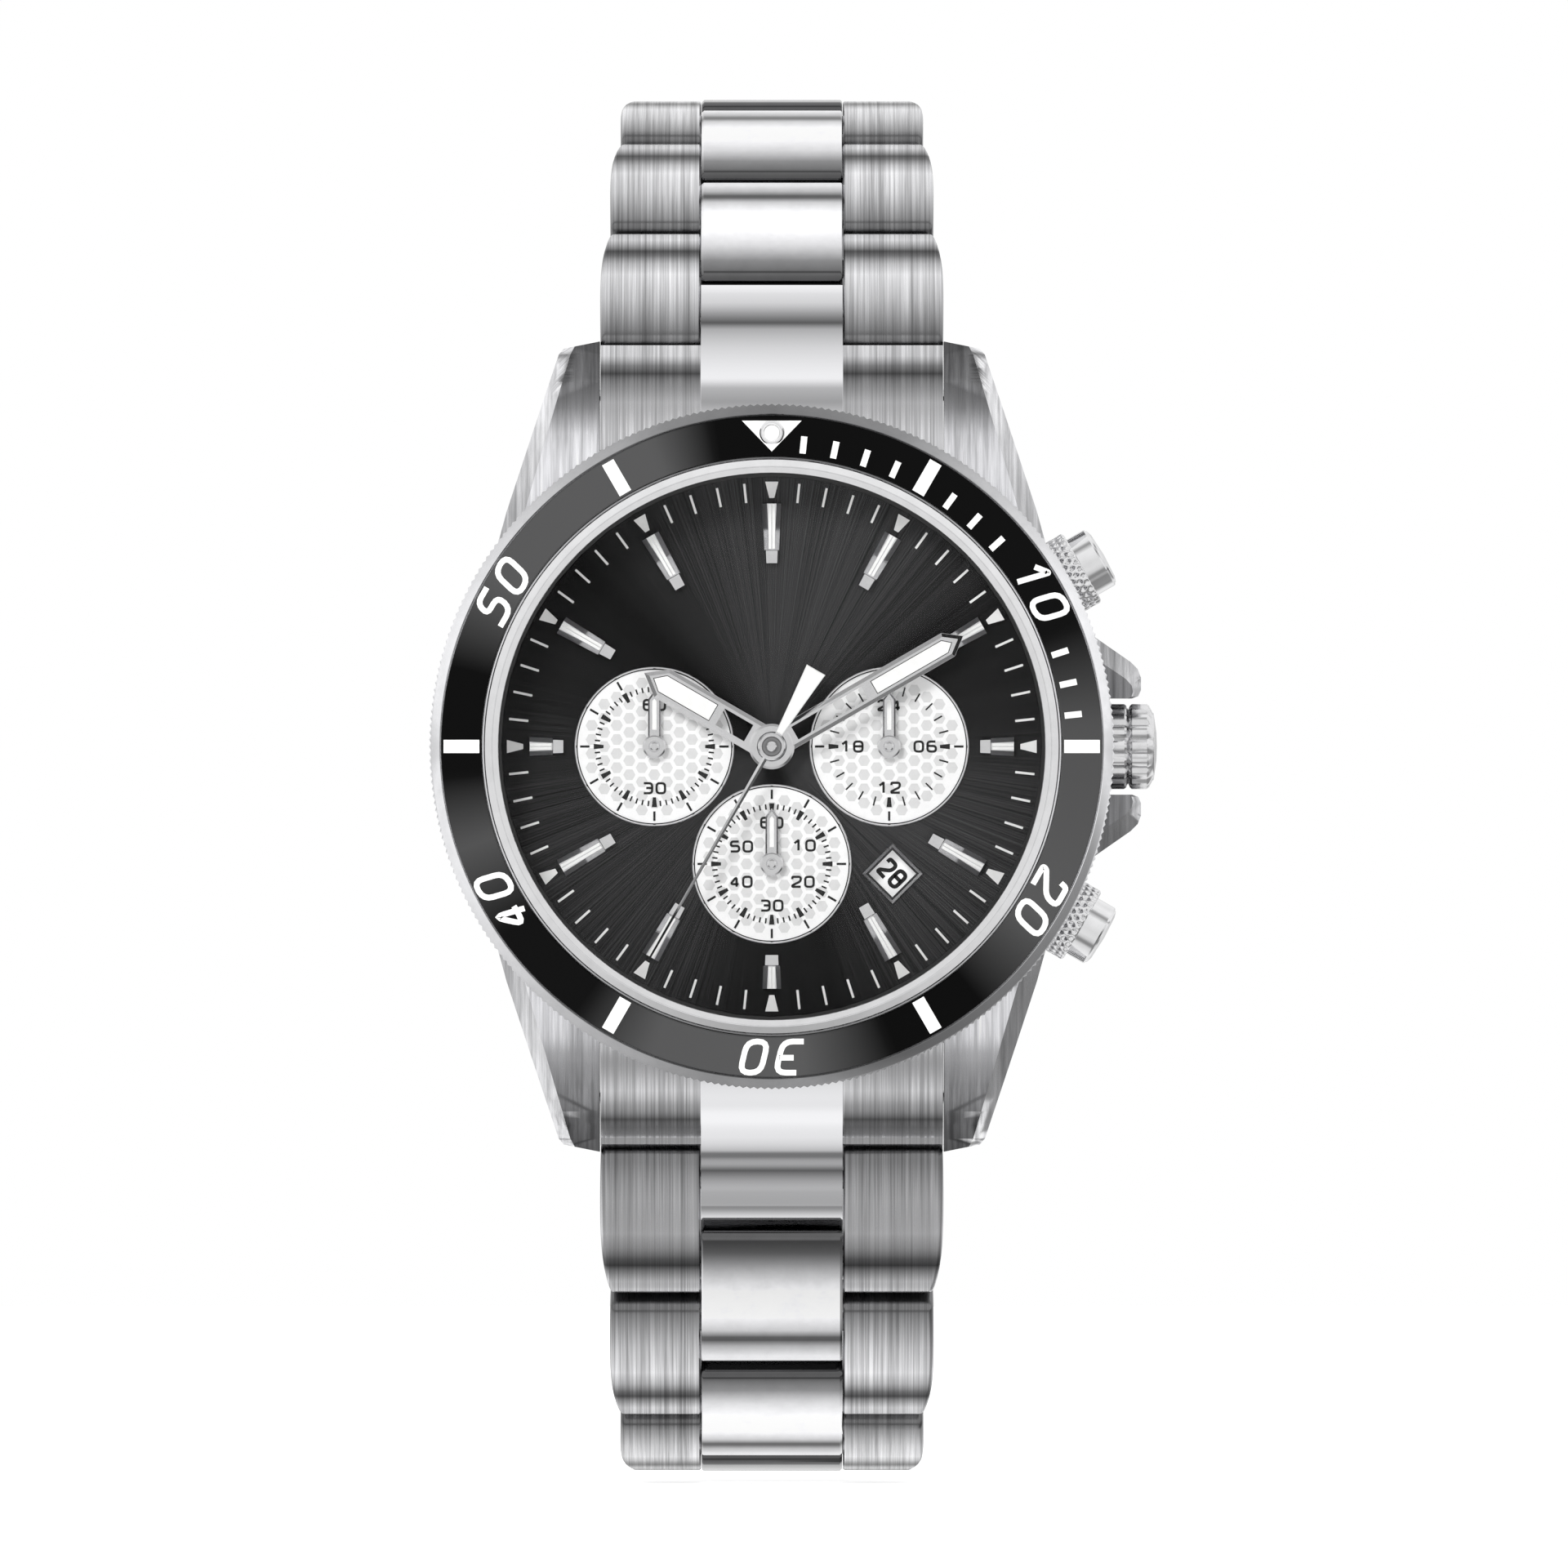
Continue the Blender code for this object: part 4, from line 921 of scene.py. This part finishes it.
def build_subdial(name, centre):
    """White sub-dial: silver double rim, honeycomb ground, black scale and figures."""
    at = DIAL @ Matrix.Translation((centre[0], centre[1], 0.0))
    base = lathe([(0.36, SUBDIAL_H - 0.02), (SUBDIAL_R - 0.02, SUBDIAL_H - 0.02),
                  (SUBDIAL_R - 0.02, SUBDIAL_H + 0.03), (0.36, SUBDIAL_H + 0.03)], 96)
    piece(f"subdial_{name}", base, "head", SUBDIAL_WHITE, "date_white", at)
    rim = lathe([(4.97, SUBDIAL_H), (5.1, SUBDIAL_H), (5.1, DIAL_H + 0.05), (5.06, DIAL_H + 0.09),
                 (5.0, DIAL_H + 0.09), (4.97, DIAL_H + 0.05)], 128)
    piece(f"subdial_{name}_rim", rim, "head", MIRROR, "steel_polished", at)
    lip = SUBDIAL_H + 0.05
    groove = lathe([(4.9, SUBDIAL_H), (4.97, SUBDIAL_H), (4.97, lip), (4.9, lip)], 128)
    piece(f"subdial_{name}_groove", groove, "head", BLACK_PRINT, "bezel_black", at)
    surface = flat(SUBDIAL_H + 0.03)
    cells = []
    columns = int(SUBDIAL_R / HEX_COLUMN) + 1
    for column in range(-columns, columns + 1):
        for row in range(-columns, columns + 1):
            x = column * HEX_COLUMN
            z = (row + 0.5 * (column % 2)) * HEX_ROW
            if math.hypot(x, z) < SUBDIAL_R - 0.62:
                cells.append(draped(circle(HEX_R, 6, (x, z)), surface, 0.008))
    piece(f"subdial_{name}_honeycomb", joined(cells), "head", HEX_GREY, "date_white", at)
    marks = scale_marks(24 if name == "right" else 60, surface)
    labels = {
        "left": [("60", 0.0, 2.65), ("30", 0.0, -2.66)],
        "lower": [("60", 0.0, 2.63), ("10", 2.06, 1.18), ("20", 1.99, -1.14), ("30", 0.0, -2.66),
                  ("40", -1.97, -1.14), ("50", -1.94, 1.11)],
        "right": [("24", 0.0, 2.63), ("06", 2.3, 0.0), ("12", 0.0, -2.63), ("18", -2.38, 0.0)],
    }[name]
    for text, x, z in labels:

        def place_at(u, v, x=x, z=z):
            return x + u, z + v

        marks += figures(text, 0.78, 0.68, 0.14, 0.145, place_at, surface, radius=0.2)
    piece(f"subdial_{name}_scale", joined(marks), "head", BLACK_PRINT, "bezel_black", at)


def scale_marks(divisions, surface):
    """Ticks, wedges and outer ticks of a sub-dial."""
    marks = []
    wide = 12 if divisions == 60 else 4
    for k in range(divisions):
        if k % (divisions // wide):
            inner, outer = (3.48, 3.82) if divisions == 60 else (3.3, 3.9)
            outline = [(-0.05, inner), (0.05, inner), (0.05, outer), (-0.05, outer)]
        else:
            outline = [(-0.1, 3.24), (0.1, 3.24), (0.17, 3.87), (-0.17, 3.87)]
            bar = [(-0.07, 4.14), (0.07, 4.14), (0.07, 4.74), (-0.07, 4.74)]
            marks.append(draped(turned_plan(bar, 360.0 * k / divisions), surface))
        marks.append(draped(turned_plan(outline, 360.0 * k / divisions), surface))
    return marks


def build_date():
    """Bevelled window frame on the dial, and the numbered date ring under it."""
    rises = [(1.98, -0.02), (1.98, 0.05), (1.92, 0.14), (1.5, -0.12), (1.5, -0.4), (1.62, -0.4),
             (1.62, -0.02)]
    rings = [[(x, z, DIAL_H + rise) for x, z in circle(radius, 4, DATE_CENTRE)] for radius, rise in rises]
    piece("date_frame", loft(rings, closed=True), "head", SATIN, "bezel_black", sharp=5.0)
    # the date disc gets a glow of painted light from its material
    dress("date_wheel", DATE_WHITE_PAINTED_GLOW)
    numbers = []
    for day in range(1, 32):
        turn = DATE_DEG + (DATE_SHOWN - day) * DATE_STEP

        def place_at(x, y, turn=turn):
            return turned_plan([(-y, x + DATE_RING_R)], turn)[0]

        numbers += figures(str(day), 1.36, 0.84, 0.1, 0.25, place_at, flat(DATE_TOP), radius=0.3)
    piece("date_numbers", joined(numbers), "date", BLACK_PRINT, "bezel_black")


# ---------------------------------------------------------------- hands
def build_hands():
    """Bevelled steel over the CAD hands, with their luminous fillings."""
    main_hand("hour", HOUR_DEG, 9.4, 1.03, HOUR_H, (1.7, 3.8, 0.6), (4.27, 8.75, 0.62))
    main_hand("minute", MINUTE_DEG, 14.1, 0.86, MINUTE_H, (1.7, 6.85, 0.46), (7.5, 13.3, 0.48))
    build_sweep()
    bodies = {"left": ("chrono_minutes", "chrono_minutes_hand"), "right": ("day_hand", "hand_24_hour"),
              "lower": ("small_seconds", "small_seconds_hand")}
    for where, (body, node) in bodies.items():
        dress(node, MIRROR)
        at = DIAL @ Matrix.Translation((*SUBDIALS[where], SMALL_HAND_H))
        outline = [(-0.4, 0.3), (0.4, 0.3), (0.4, 3.0), (0.0, 3.53), (-0.4, 3.0)]
        arm = new_object(f"{node}_facets", prism(outline, -0.02, 0.1, 0.1), at)
        slot_cut = prism([(-0.15, 1.05), (0.15, 1.05), (0.15, 2.9), (0.0, 3.08), (-0.15, 2.9)], 0.02, 0.5)
        combine(arm, slot_cut, at)
        hub = lathe([(0.005, 0.0), (0.74, 0.0), (0.74, 0.08), (0.64, 0.14), (0.36, 0.14), (0.34, 0.1),
                     (0.31, 0.1), (0.29, 0.22), (0.2, 0.27), (0.005, 0.27)], 48)
        combine(arm, hub, at, "UNION")
        finish(arm, body, MIRROR, "steel_polished", sharp=15.0)
        fill = prism([(-0.14, 1.07), (0.14, 1.07), (0.14, 2.89), (0.0, 3.06), (-0.14, 2.89)], 0.0, 0.07)
        piece(f"{node}_lume", fill, body, LUME, "date_white", at)


def main_hand(name, degrees, length, half, height, window, lume):
    """Faceted skeleton hand: open window near the hub, luminous pocket to the tip."""
    dress(f"{name}_hand", MIRROR)
    tip = half * 1.3
    outline = [(-half, 0.6), (half, 0.6), (half, length - tip), (0.0, length), (-half, length - tip)]
    low = height - 0.05
    solid = prism(turned_plan(outline, degrees), low, height + 0.16, 0.24, 0.17)
    arm = new_object(f"{name}_hand_facets", solid, DIAL)
    near, far, wide = window
    opening = turned_plan([(-wide, near), (wide, near), (wide, far), (-wide, far)], degrees)
    combine(arm, prism(opening, low - 1.0, height + 1.0))
    pocket = lume_outline(*lume)
    combine(arm, prism(turned_plan(pocket, degrees), height + 0.03, height + 1.0))
    hub = lathe([(0.86, low), (1.45, low), (1.45, height + 0.12), (1.3, height + 0.2), (0.95, height + 0.2),
                 (0.86, height + 0.14)], 64)
    combine(arm, hub, DIAL, "UNION")
    finish(arm, name, MIRROR, "steel_polished", sharp=12.0)
    well = prism(turned_plan(inset(pocket, 0.012), degrees), height, height + 0.06)
    piece(f"{name}_hand_pocket", well, name, BLACK_PRINT, "bezel_black")
    fill = prism(turned_plan(inset(pocket, 0.06), degrees), height + 0.02, height + 0.12)
    piece(f"{name}_hand_lume", fill, name, LUME, "date_white")


def lume_outline(near, far, half):
    """Pocket with a pointed outer end."""
    return [(-half, near), (half, near), (half, far - half * 1.15), (0.0, far), (-half, far - half * 1.15)]


def build_sweep():
    """Long thin seconds hand with a ridge, white counterweight, and the stacked rings of its hub."""
    dress("chrono_seconds_hand", MIRROR)
    h = SWEEP_H
    rings = []
    for y, half in ((15.7, 0.06), (8.0, 0.11), (0.0, 0.17), (-0.9, 0.22)):
        ridge = [(-half, h - 0.03), (half, h - 0.03), (half, h + 0.02), (0.0, h + 0.1), (-half, h + 0.02)]
        rings.append([(*turned_plan([(x, y)], SWEEP_DEG)[0], level) for x, level in ridge])
    needle = new_object("sweep_needle", loft(rings), DIAL)
    hub = lathe([(0.005, h - 0.02), (0.88, h - 0.02), (0.88, h + 0.1), (0.8, h + 0.16), (0.64, h + 0.16),
                 (0.6, h + 0.1), (0.36, h + 0.1), (0.32, h + 0.2), (0.26, h + 0.25), (0.005, h + 0.25)], 64)
    combine(needle, hub, DIAL, "UNION")
    finish(needle, "sweep", MIRROR, "steel_polished", sharp=15.0)
    disc = lathe([(0.33, h + 0.08), (0.6, h + 0.08), (0.6, h + 0.125), (0.33, h + 0.125)], 48)
    piece("sweep_hub_disc", disc, "sweep", HUB_GREY, "steel_brushed", sharp=20.0)
    outline = turned_plan([(-0.21, -0.95), (0.21, -0.95), (0.68, -5.65), (-0.68, -5.65)], SWEEP_DEG)
    weight = prism(outline, h - 0.03, h + 0.07, 0.05)
    piece("sweep_counterweight", weight, "sweep", LUME, "date_white", sharp=12.0)


# ---------------------------------------------------------------- crown and pushers
def build_crown():
    """Fluted crown with a groove round its middle and a domed end."""
    profile = [(0.65, 21.05), (2.35, 21.05), (2.62, 21.12), (2.72, 21.25), (2.72, 22.5), (2.62, 22.64),
               (2.35, 22.76), (2.62, 22.88), (2.72, 23.0), (2.72, 23.95), (2.6, 24.1), (2.2, 24.3),
               (2.12, 24.4), (1.95, 24.42), (1.8, 24.44), (0.9, 24.57), (0.01, 24.6), (0.01, 23.6),
               (0.65, 23.6)]
    cut_rings = (2, 3, 4, 5, 7, 8, 9, 10)

    def flute(i, k):
        return FLUTE_WAVE[i % len(FLUTE_WAVE)] if k in cut_rings else 0.0

    at = radial(0.0)
    crown = new_object("crown_fluted", lathe(profile, FLUTES * len(FLUTE_WAVE), flute), at)
    combine(crown, prism(circle(1.5, 32), 20.0, 22.5), at)
    finish(crown, "crown_and_stem", SATIN, "steel_polished", ["crown"], sharp=28.0)


def build_pushers():
    """Knurled screw-down collars and polished caps."""
    for tag, degrees in (("upper", PUSHER_DEG), ("lower", -PUSHER_DEG)):
        at = radial(degrees)
        outside = [21.4 + 0.05 * k for k in range(31)]
        profile = [(1.4, 21.4)] + [(2.52, h) for h in outside] + [(2.12, 22.9), (2.12, 21.75), (1.4, 21.75)]

        def dimple(i, k):
            if not 1 <= k <= len(outside):
                return 0.0
            s = (k - 1) / (len(outside) - 1)
            corner = 0.35 * max(0.0, abs(s - 0.5) * 2 - 0.82) ** 1.5 * 6.0
            a = TAU * i / 180
            knurl = (0.5 + 0.5 * math.cos(30 * a + s * 11.0)) * (0.5 + 0.5 * math.cos(30 * a - s * 11.0))
            return corner + 0.17 * knurl

        collar = lathe(profile, 180, dimple)
        piece(f"pusher_collar_{tag}_knurled", collar, f"{tag}_collar", MIRROR, "steel_brushed", at,
              replaces=[f"pusher_collar_{tag}"], sharp=60.0)
        cap = [(0.01, 15.9), (0.58, 15.9), (0.58, 23.7), (1.6, 23.7), (1.6, 22.75), (2.0, 22.75),
               (2.03, 22.8), (2.03, 24.12), (1.98, 24.2), (1.9, 24.22), (1.87, 24.3), (1.5, 24.42),
               (0.01, 24.5)]
        piece(f"pusher_cap_{tag}_polished", lathe(cap, 72), f"{tag}_pusher", MIRROR, "steel_polished", at,
              replaces=[f"pusher_cap_{tag}"], sharp=28.0)


# ---------------------------------------------------------------- bracelet
def end_drop(distance, radius):
    """How far a rounded end falls at a distance from it."""
    if distance >= radius:
        return 0.0
    return radius - math.sqrt(max(0.0, radius ** 2 - (radius - distance) ** 2))


def stations(first, last):
    """Positions along a link, closer together at its rounded ends."""
    near = [0.0, 0.02, 0.06, 0.13, 0.24, 0.38, 0.55, 0.8, 1.2]
    middle = [1.9 + (last - first - 3.8) * k / 8 for k in range(9)]
    return [first + d for d in near + middle] + [last - d for d in reversed(near)]


def link_heights(s, first, last, top):
    """Lower and upper height of a link at a station: domed outside, rounded ends."""
    end = min(s - first, last - s)
    share = (s - (first + last) / 2) / ((last - first) / 2)
    upper = top - DOME * share ** 2 - end_drop(end, 0.5)
    lower = -LINK_HALF_T + end_drop(end, 1.0)
    return lower, upper


def link_block(x0, x1, top, barrel, both_round=False):
    """A block from x0 to x1 across the bracelet, lofted along it."""
    first, last = -OVERHANG, HALF_PITCH + OVERHANG
    rings = []
    for s in stations(first, last):
        lower, upper = link_heights(s, first, last, top)
        t = (s - first) / (last - first)
        end = min(s - first, last - s)
        outer = x1 - barrel * (0.1 * (1 - t) ** 6 + 0.75 * t ** 5) - end_drop(end, 0.22)
        inner = x0 + end_drop(end, 0.12) if both_round or barrel else x0
        r = 0.3 if barrel else 0.16
        arc = [(r * (1 - math.cos(a)), r * (1 - math.sin(a))) for a in (0.0, 0.4, 0.8, 1.2, math.pi / 2)]
        r_in = 0.16 if both_round else 0.1
        ring = [(inner + r_in, lower), (outer - r, lower), (outer, lower + r)]
        ring += [(outer - d, upper - r + (r - e)) for d, e in arc]
        ring += [(inner + r_in, upper), (inner, upper - r_in), (inner, lower + r_in)]
        rings.append([(s, n, x) for x, n in ring])
    return loft(rings)


def mark_along(obj, frame_matrix):
    """Store each vertex's place along its link, from 0 at the near end to 1 at the far end."""
    inverse = frame_matrix.inverted()
    shares = [((inverse @ (v.co / MM)).x + OVERHANG) / (HALF_PITCH + 2 * OVERHANG) for v in obj.data.vertices]
    attribute = obj.data.attributes.new("along", "FLOAT", "POINT")
    attribute.data.foreach_set("value", shares)


def mirrored(solid):
    """The same solid on the other side of the bracelet."""
    return [Vector((v[0], v[1], -v[2])) for v in solid[0]], [tuple(reversed(f)) for f in solid[1]]


def build_bracelet():
    """Brushed outer pairs with their pins, and polished centre pieces with their bores."""
    joints = {j["name"]: j for j in frame["joints"]}
    starts = {}
    for tag, side in (("12", 1), ("6", -1)):
        names = [f"{k // 2 + 1}{'oc'[k % 2]}" for k in range(11)]
        pins = [Vector(joints[f"fold_{tag}_{n}"]["pos_m"]) / MM for n in names]
        if tag == "12":
            pins.append(Vector(joints["end_blade_swing"]["pos_m"]) / MM)
        else:
            a = math.radians(LAST_DIRECTION_6)
            pins.append(pins[-1] + Vector((0.0, math.sin(a), -math.cos(a))) * HALF_PITCH)
        starts[tag] = pins[0]
        for k, name in enumerate(names):
            at = link_frame(pins[k], pins[k + 1], side)
            body = f"link_{tag}_{name}"
            if k % 2:
                build_centre(tag, k // 2 + 1, body, at)
            else:
                build_outer(tag, k // 2 + 1, body, at, PAIR_WIDTHS[k // 2] / 2)
    build_end_links(starts)


def build_outer(tag, number, body, at, half):
    """Two brushed blocks joined by their pins."""
    block = link_block(OUTER_IN, half, LINK_HALF_T, 1.0)
    open_end = tag == "6" and number == 6
    pins = [0.0] if open_end else [0.0, HALF_PITCH]
    bars = [prism(circle(0.6, 20, (s, 0.0)), -OUTER_IN - 0.5, OUTER_IN + 0.5) for s in pins]
    solid = joined([block, mirrored(block)] + bars)
    obj = piece(f"outer_link_{tag}_{number}_brushed", solid, body, LINK_STEEL, "steel_brushed", at,
                replaces=[f"outer_link_{tag}_{number}"], sharp=35.0)
    mark_along(obj, at)


def build_centre(tag, number, body, at):
    """One polished centre piece with two pin bores."""
    top = LINK_HALF_T + CENTRE_PROUD
    solid = link_block(-CENTRE_HALF_W, CENTRE_HALF_W, top, 0.0, both_round=True)
    obj = new_object(f"centre_link_{tag}_{number}_polished", solid, at)
    for s in (0.0, HALF_PITCH):
        bore = prism(circle(0.7, 20, (s, 0.0)), -6.0, 6.0)
        combine(obj, bore, at)
    finish(obj, body, CENTRE_STEEL, "steel_polished", [f"centre_link_{tag}_{number}"], sharp=35.0)
    mark_along(obj, at)


def smooth_outline(points, steps=6):
    """A rounded path through plan points."""
    result = []
    for i in range(len(points) - 1):
        p = [Vector(points[max(0, min(len(points) - 1, i + d))]) for d in (-1, 0, 1, 2)]
        for k in range(steps):
            t = k / steps
            bend = (2 * p[0] - 5 * p[1] + 4 * p[2] - p[3]) * t * t
            twist = (3 * p[1] - p[0] - 3 * p[2] + p[3]) * t ** 3
            result.append(tuple(0.5 * ((2 * p[1]) + (p[2] - p[0]) * t + bend + twist)))
    return result + [tuple(points[-1])]


def build_end_links(pins):
    """Solid end links with a smooth fall from the case, brushed outside and polished in the middle."""
    half = LUG_IN - 0.06
    edge = -HALF_PITCH / 2 - 0.05
    top = LINK_HALF_T + CENTRE_PROUD
    tip = OVERHANG
    for tag, side in (("12", 1), ("6", -1)):
        a = math.radians(END_LINK_DEG[tag])
        at = link_frame(pins[tag], pins[tag] + Vector((0.0, math.sin(a), side * math.cos(a))), side)

        def shown(points, at=at, side=side):
            """Points of the link's own frame as (distance from the dial axis, height)."""
            placed = [DIAL.inverted() @ (at @ Vector((s, n, 0.0))) for s, n in points]
            return [(side * p.y, p.z) for p in placed]

        low = shown([(edge - 0.6, -LINK_HALF_T)]) + [(22.6, 1.15), (21.0, 1.3), (18.0, 1.35)]
        outers = smooth_outline(END_LINK_TOP + shown([(edge - 0.6, LINK_HALF_T - 0.02)]))
        outers += shown([(edge - 0.15, LINK_HALF_T - 0.08), (edge, LINK_HALF_T - 0.3),
                         (edge, 0.5 - LINK_HALF_T)])
        raised = [(z, h + CENTRE_PROUD * 0.8) for z, h in END_LINK_TOP]
        centre = smooth_outline(raised + shown([(edge, top), (0.0, top), (tip - 1.0, top - 0.05)]))
        centre += shown([(tip - 0.3, top - 0.22), (tip - 0.08, top - 0.4), (tip, top - 0.7),
                         (tip - 0.08, 0.0), (tip - 0.55, 0.55 - LINK_HALF_T), (tip - 1.35, -LINK_HALF_T)])
        obj = new_object(f"end_link_{tag}_finished", prism(outers + low, -half, half), across(side))
        combine(obj, prism(centre + low, -CENTRE_HALF_W, CENTRE_HALF_W), across(side), "UNION")
        combine(obj, prism(circle(LUG_NOTCH_R + 0.25, 128), -5.0, 12.0))
        combine(obj, prism(circle(0.95, 24, LUG_BAR_AT), -13.0, 13.0), across(side))
        combine(obj, prism(circle(0.7, 20), -6.0, 6.0), at)
        finish(obj, "head", END_LINK, "steel_brushed", [f"end_link_{tag}"], sharp=25.0, bevel=0.06)


def build_clasp():
    """Polished raised strip along the clasp cover, in line with the bracelet's centre row."""
    edge = CLASP_STRIP_HALF_W
    outline = [(-edge, -0.4), (edge, -0.4), (edge, 0.08), (edge - 0.3, CLASP_STRIP_RISE),
               (0.3 - edge, CLASP_STRIP_RISE), (-edge, 0.08)]
    rings = []
    for k in range(CLASP_STRIP_SPANS + 1):
        z = CLASP_STRIP_FROM + (CLASP_STRIP_TO - CLASP_STRIP_FROM) * k / CLASP_STRIP_SPANS
        top = CLASP_TOP_Y - (z - CLASP_TOP_Z) ** 2 / (2.0 * CLASP_ARC_R)
        rings.append([(x, top + rise, z) for x, rise in outline])
    piece("clasp_centre_strip", loft(rings), "cover", MIRROR, "steel_polished", Matrix.Identity(4))


def dress_cad():
    """CAD nodes that stay: soft edges and their own materials."""
    looks = [
        (BACK_STEEL, {"case_back": 0.06, "train_bridge": 0.04, "battery_cell": 0.05}),
        (RUBBER, {"case_back_gasket": 0.0, "crystal_gasket": 0.0}),
        (MIRROR, {"lug_bar_12": 0.0, "lug_bar_6": 0.0, "winding_stem": 0.0}),
        (NYLON, {"movement_holder": 0.05}),
        (BRASS, {"main_plate": 0.03, "minute_wheel": 0.0}),
        (PLAIN_STEEL, {"crown_tube": 0.0, "setting_lever": 0.0, "pusher_tube_upper": 0.0,
                       "pusher_tube_lower": 0.0, "clasp_end_blade": 0.05, "clasp_middle_blade": 0.05,
                       "clasp_cover": 0.15, "clasp_safety_latch": 0.15}),
    ]
    for material, bevels in looks:
        for node, bevel in bevels.items():
            dress(node, material, bevel)


# ---------------------------------------------------------------- stage
def build_floor():
    """Pale floor just under the watch, left out of reflections."""
    low = cad_box[0].z - FLOOR_GAP * MM
    r = FLOOR_HALF * MM
    mesh = bpy.data.meshes.new("floor")
    mesh.from_pydata([(-r, -r, low), (r, -r, low), (r, r, low), (-r, r, low)], [], [(0, 1, 2, 3)])
    mesh.materials.append(painted("floor_white", (0.9, 0.9, 0.9), 0.7, 40.0, 0.02, 0.7))
    floor = staged("floor", mesh)
    floor.visible_glossy = False


def staged(name, data):
    """An object of the stage, linked to the scene."""
    obj = bpy.data.objects.new(name, data)
    bpy.context.scene.collection.objects.link(obj)
    return obj


def build_surroundings():
    """Bright and dark bands that the steel reflects, a soft fill for matt faces, and white for the camera."""
    world = bpy.data.worlds.new("studio")
    bpy.context.scene.world = world
    world.use_nodes = True
    studio = Nodes(world.node_tree)
    background = studio.tree.nodes["Background"].inputs
    way = studio.node("ShaderNodeTexCoord").outputs["Generated"]
    xyz = studio.parts(way)
    rise = studio.math("ARCTAN2", xyz["Z"], studio.math("MULTIPLY", xyz["Y"], -1.0))
    turn = studio.remap(rise, -math.pi, math.pi, 0.0, 1.0)
    stops = [(0.5 - d / 360, v) for d, v in reversed(BANDS_DOWN)] + [(0.5 + d / 360, v) for d, v in BANDS_UP]
    bands = studio.ramp(turn, [(position, (value, value, value)) for position, value in stops])
    lean = studio.node("ShaderNodeVectorMath", way, DIM_DIRECTION, operation="DOT_PRODUCT").outputs["Value"]
    shaded = studio.node("ShaderNodeVectorMath", bands, operation="SCALE")
    studio.fill(shaded.inputs["Scale"], studio.remap(lean, *DIM_RANGE))
    ray = studio.node("ShaderNodeLightPath").outputs
    studio.fill(background["Color"], studio.mix(ray["Is Camera Ray"], shaded.outputs[0], WHITE))
    sharp_ray = studio.math("MAXIMUM", ray["Is Camera Ray"], ray["Is Glossy Ray"])
    studio.fill(background["Strength"], studio.remap(sharp_ray, 0.0, 1.0, SOFT_FILL, 1.0))


def build_key():
    """Soft key light from the upper left, left out of reflections."""
    light = bpy.data.lights.new("key", "AREA")
    light.energy = KEY_WATTS
    light.size = KEY_SIZE
    key = staged("key", light)
    key.location = KEY_PLACE
    key.rotation_euler = (-key.location).to_track_quat("-Z", "Y").to_euler()
    key.visible_glossy = False


def build_camera():
    """Long lens, straight at the dial."""
    camera = staged("camera", bpy.data.cameras.new("camera"))
    camera.data.sensor_width = SENSOR
    camera.data.lens = SENSOR * CAMERA_DISTANCE / VIEW_WIDTH
    camera.data.clip_start = 0.01
    camera.data.clip_end = 20.0
    camera.location = (VIEW_OFFSET[0] * MM, -(CAMERA_DISTANCE + DIAL_H + 4.0) * MM, VIEW_OFFSET[1] * MM)
    camera.rotation_euler = (math.radians(90.0), 0.0, 0.0)
    bpy.context.scene.camera = camera
    bpy.context.scene.view_settings.view_transform = "Standard"


build_case()
build_bezel()
build_crystal()
build_dial()
build_hands()
build_crown()
build_pushers()
build_bracelet()
build_clasp()
dress_cad()
build_floor()
build_surroundings()
build_key()
build_camera()
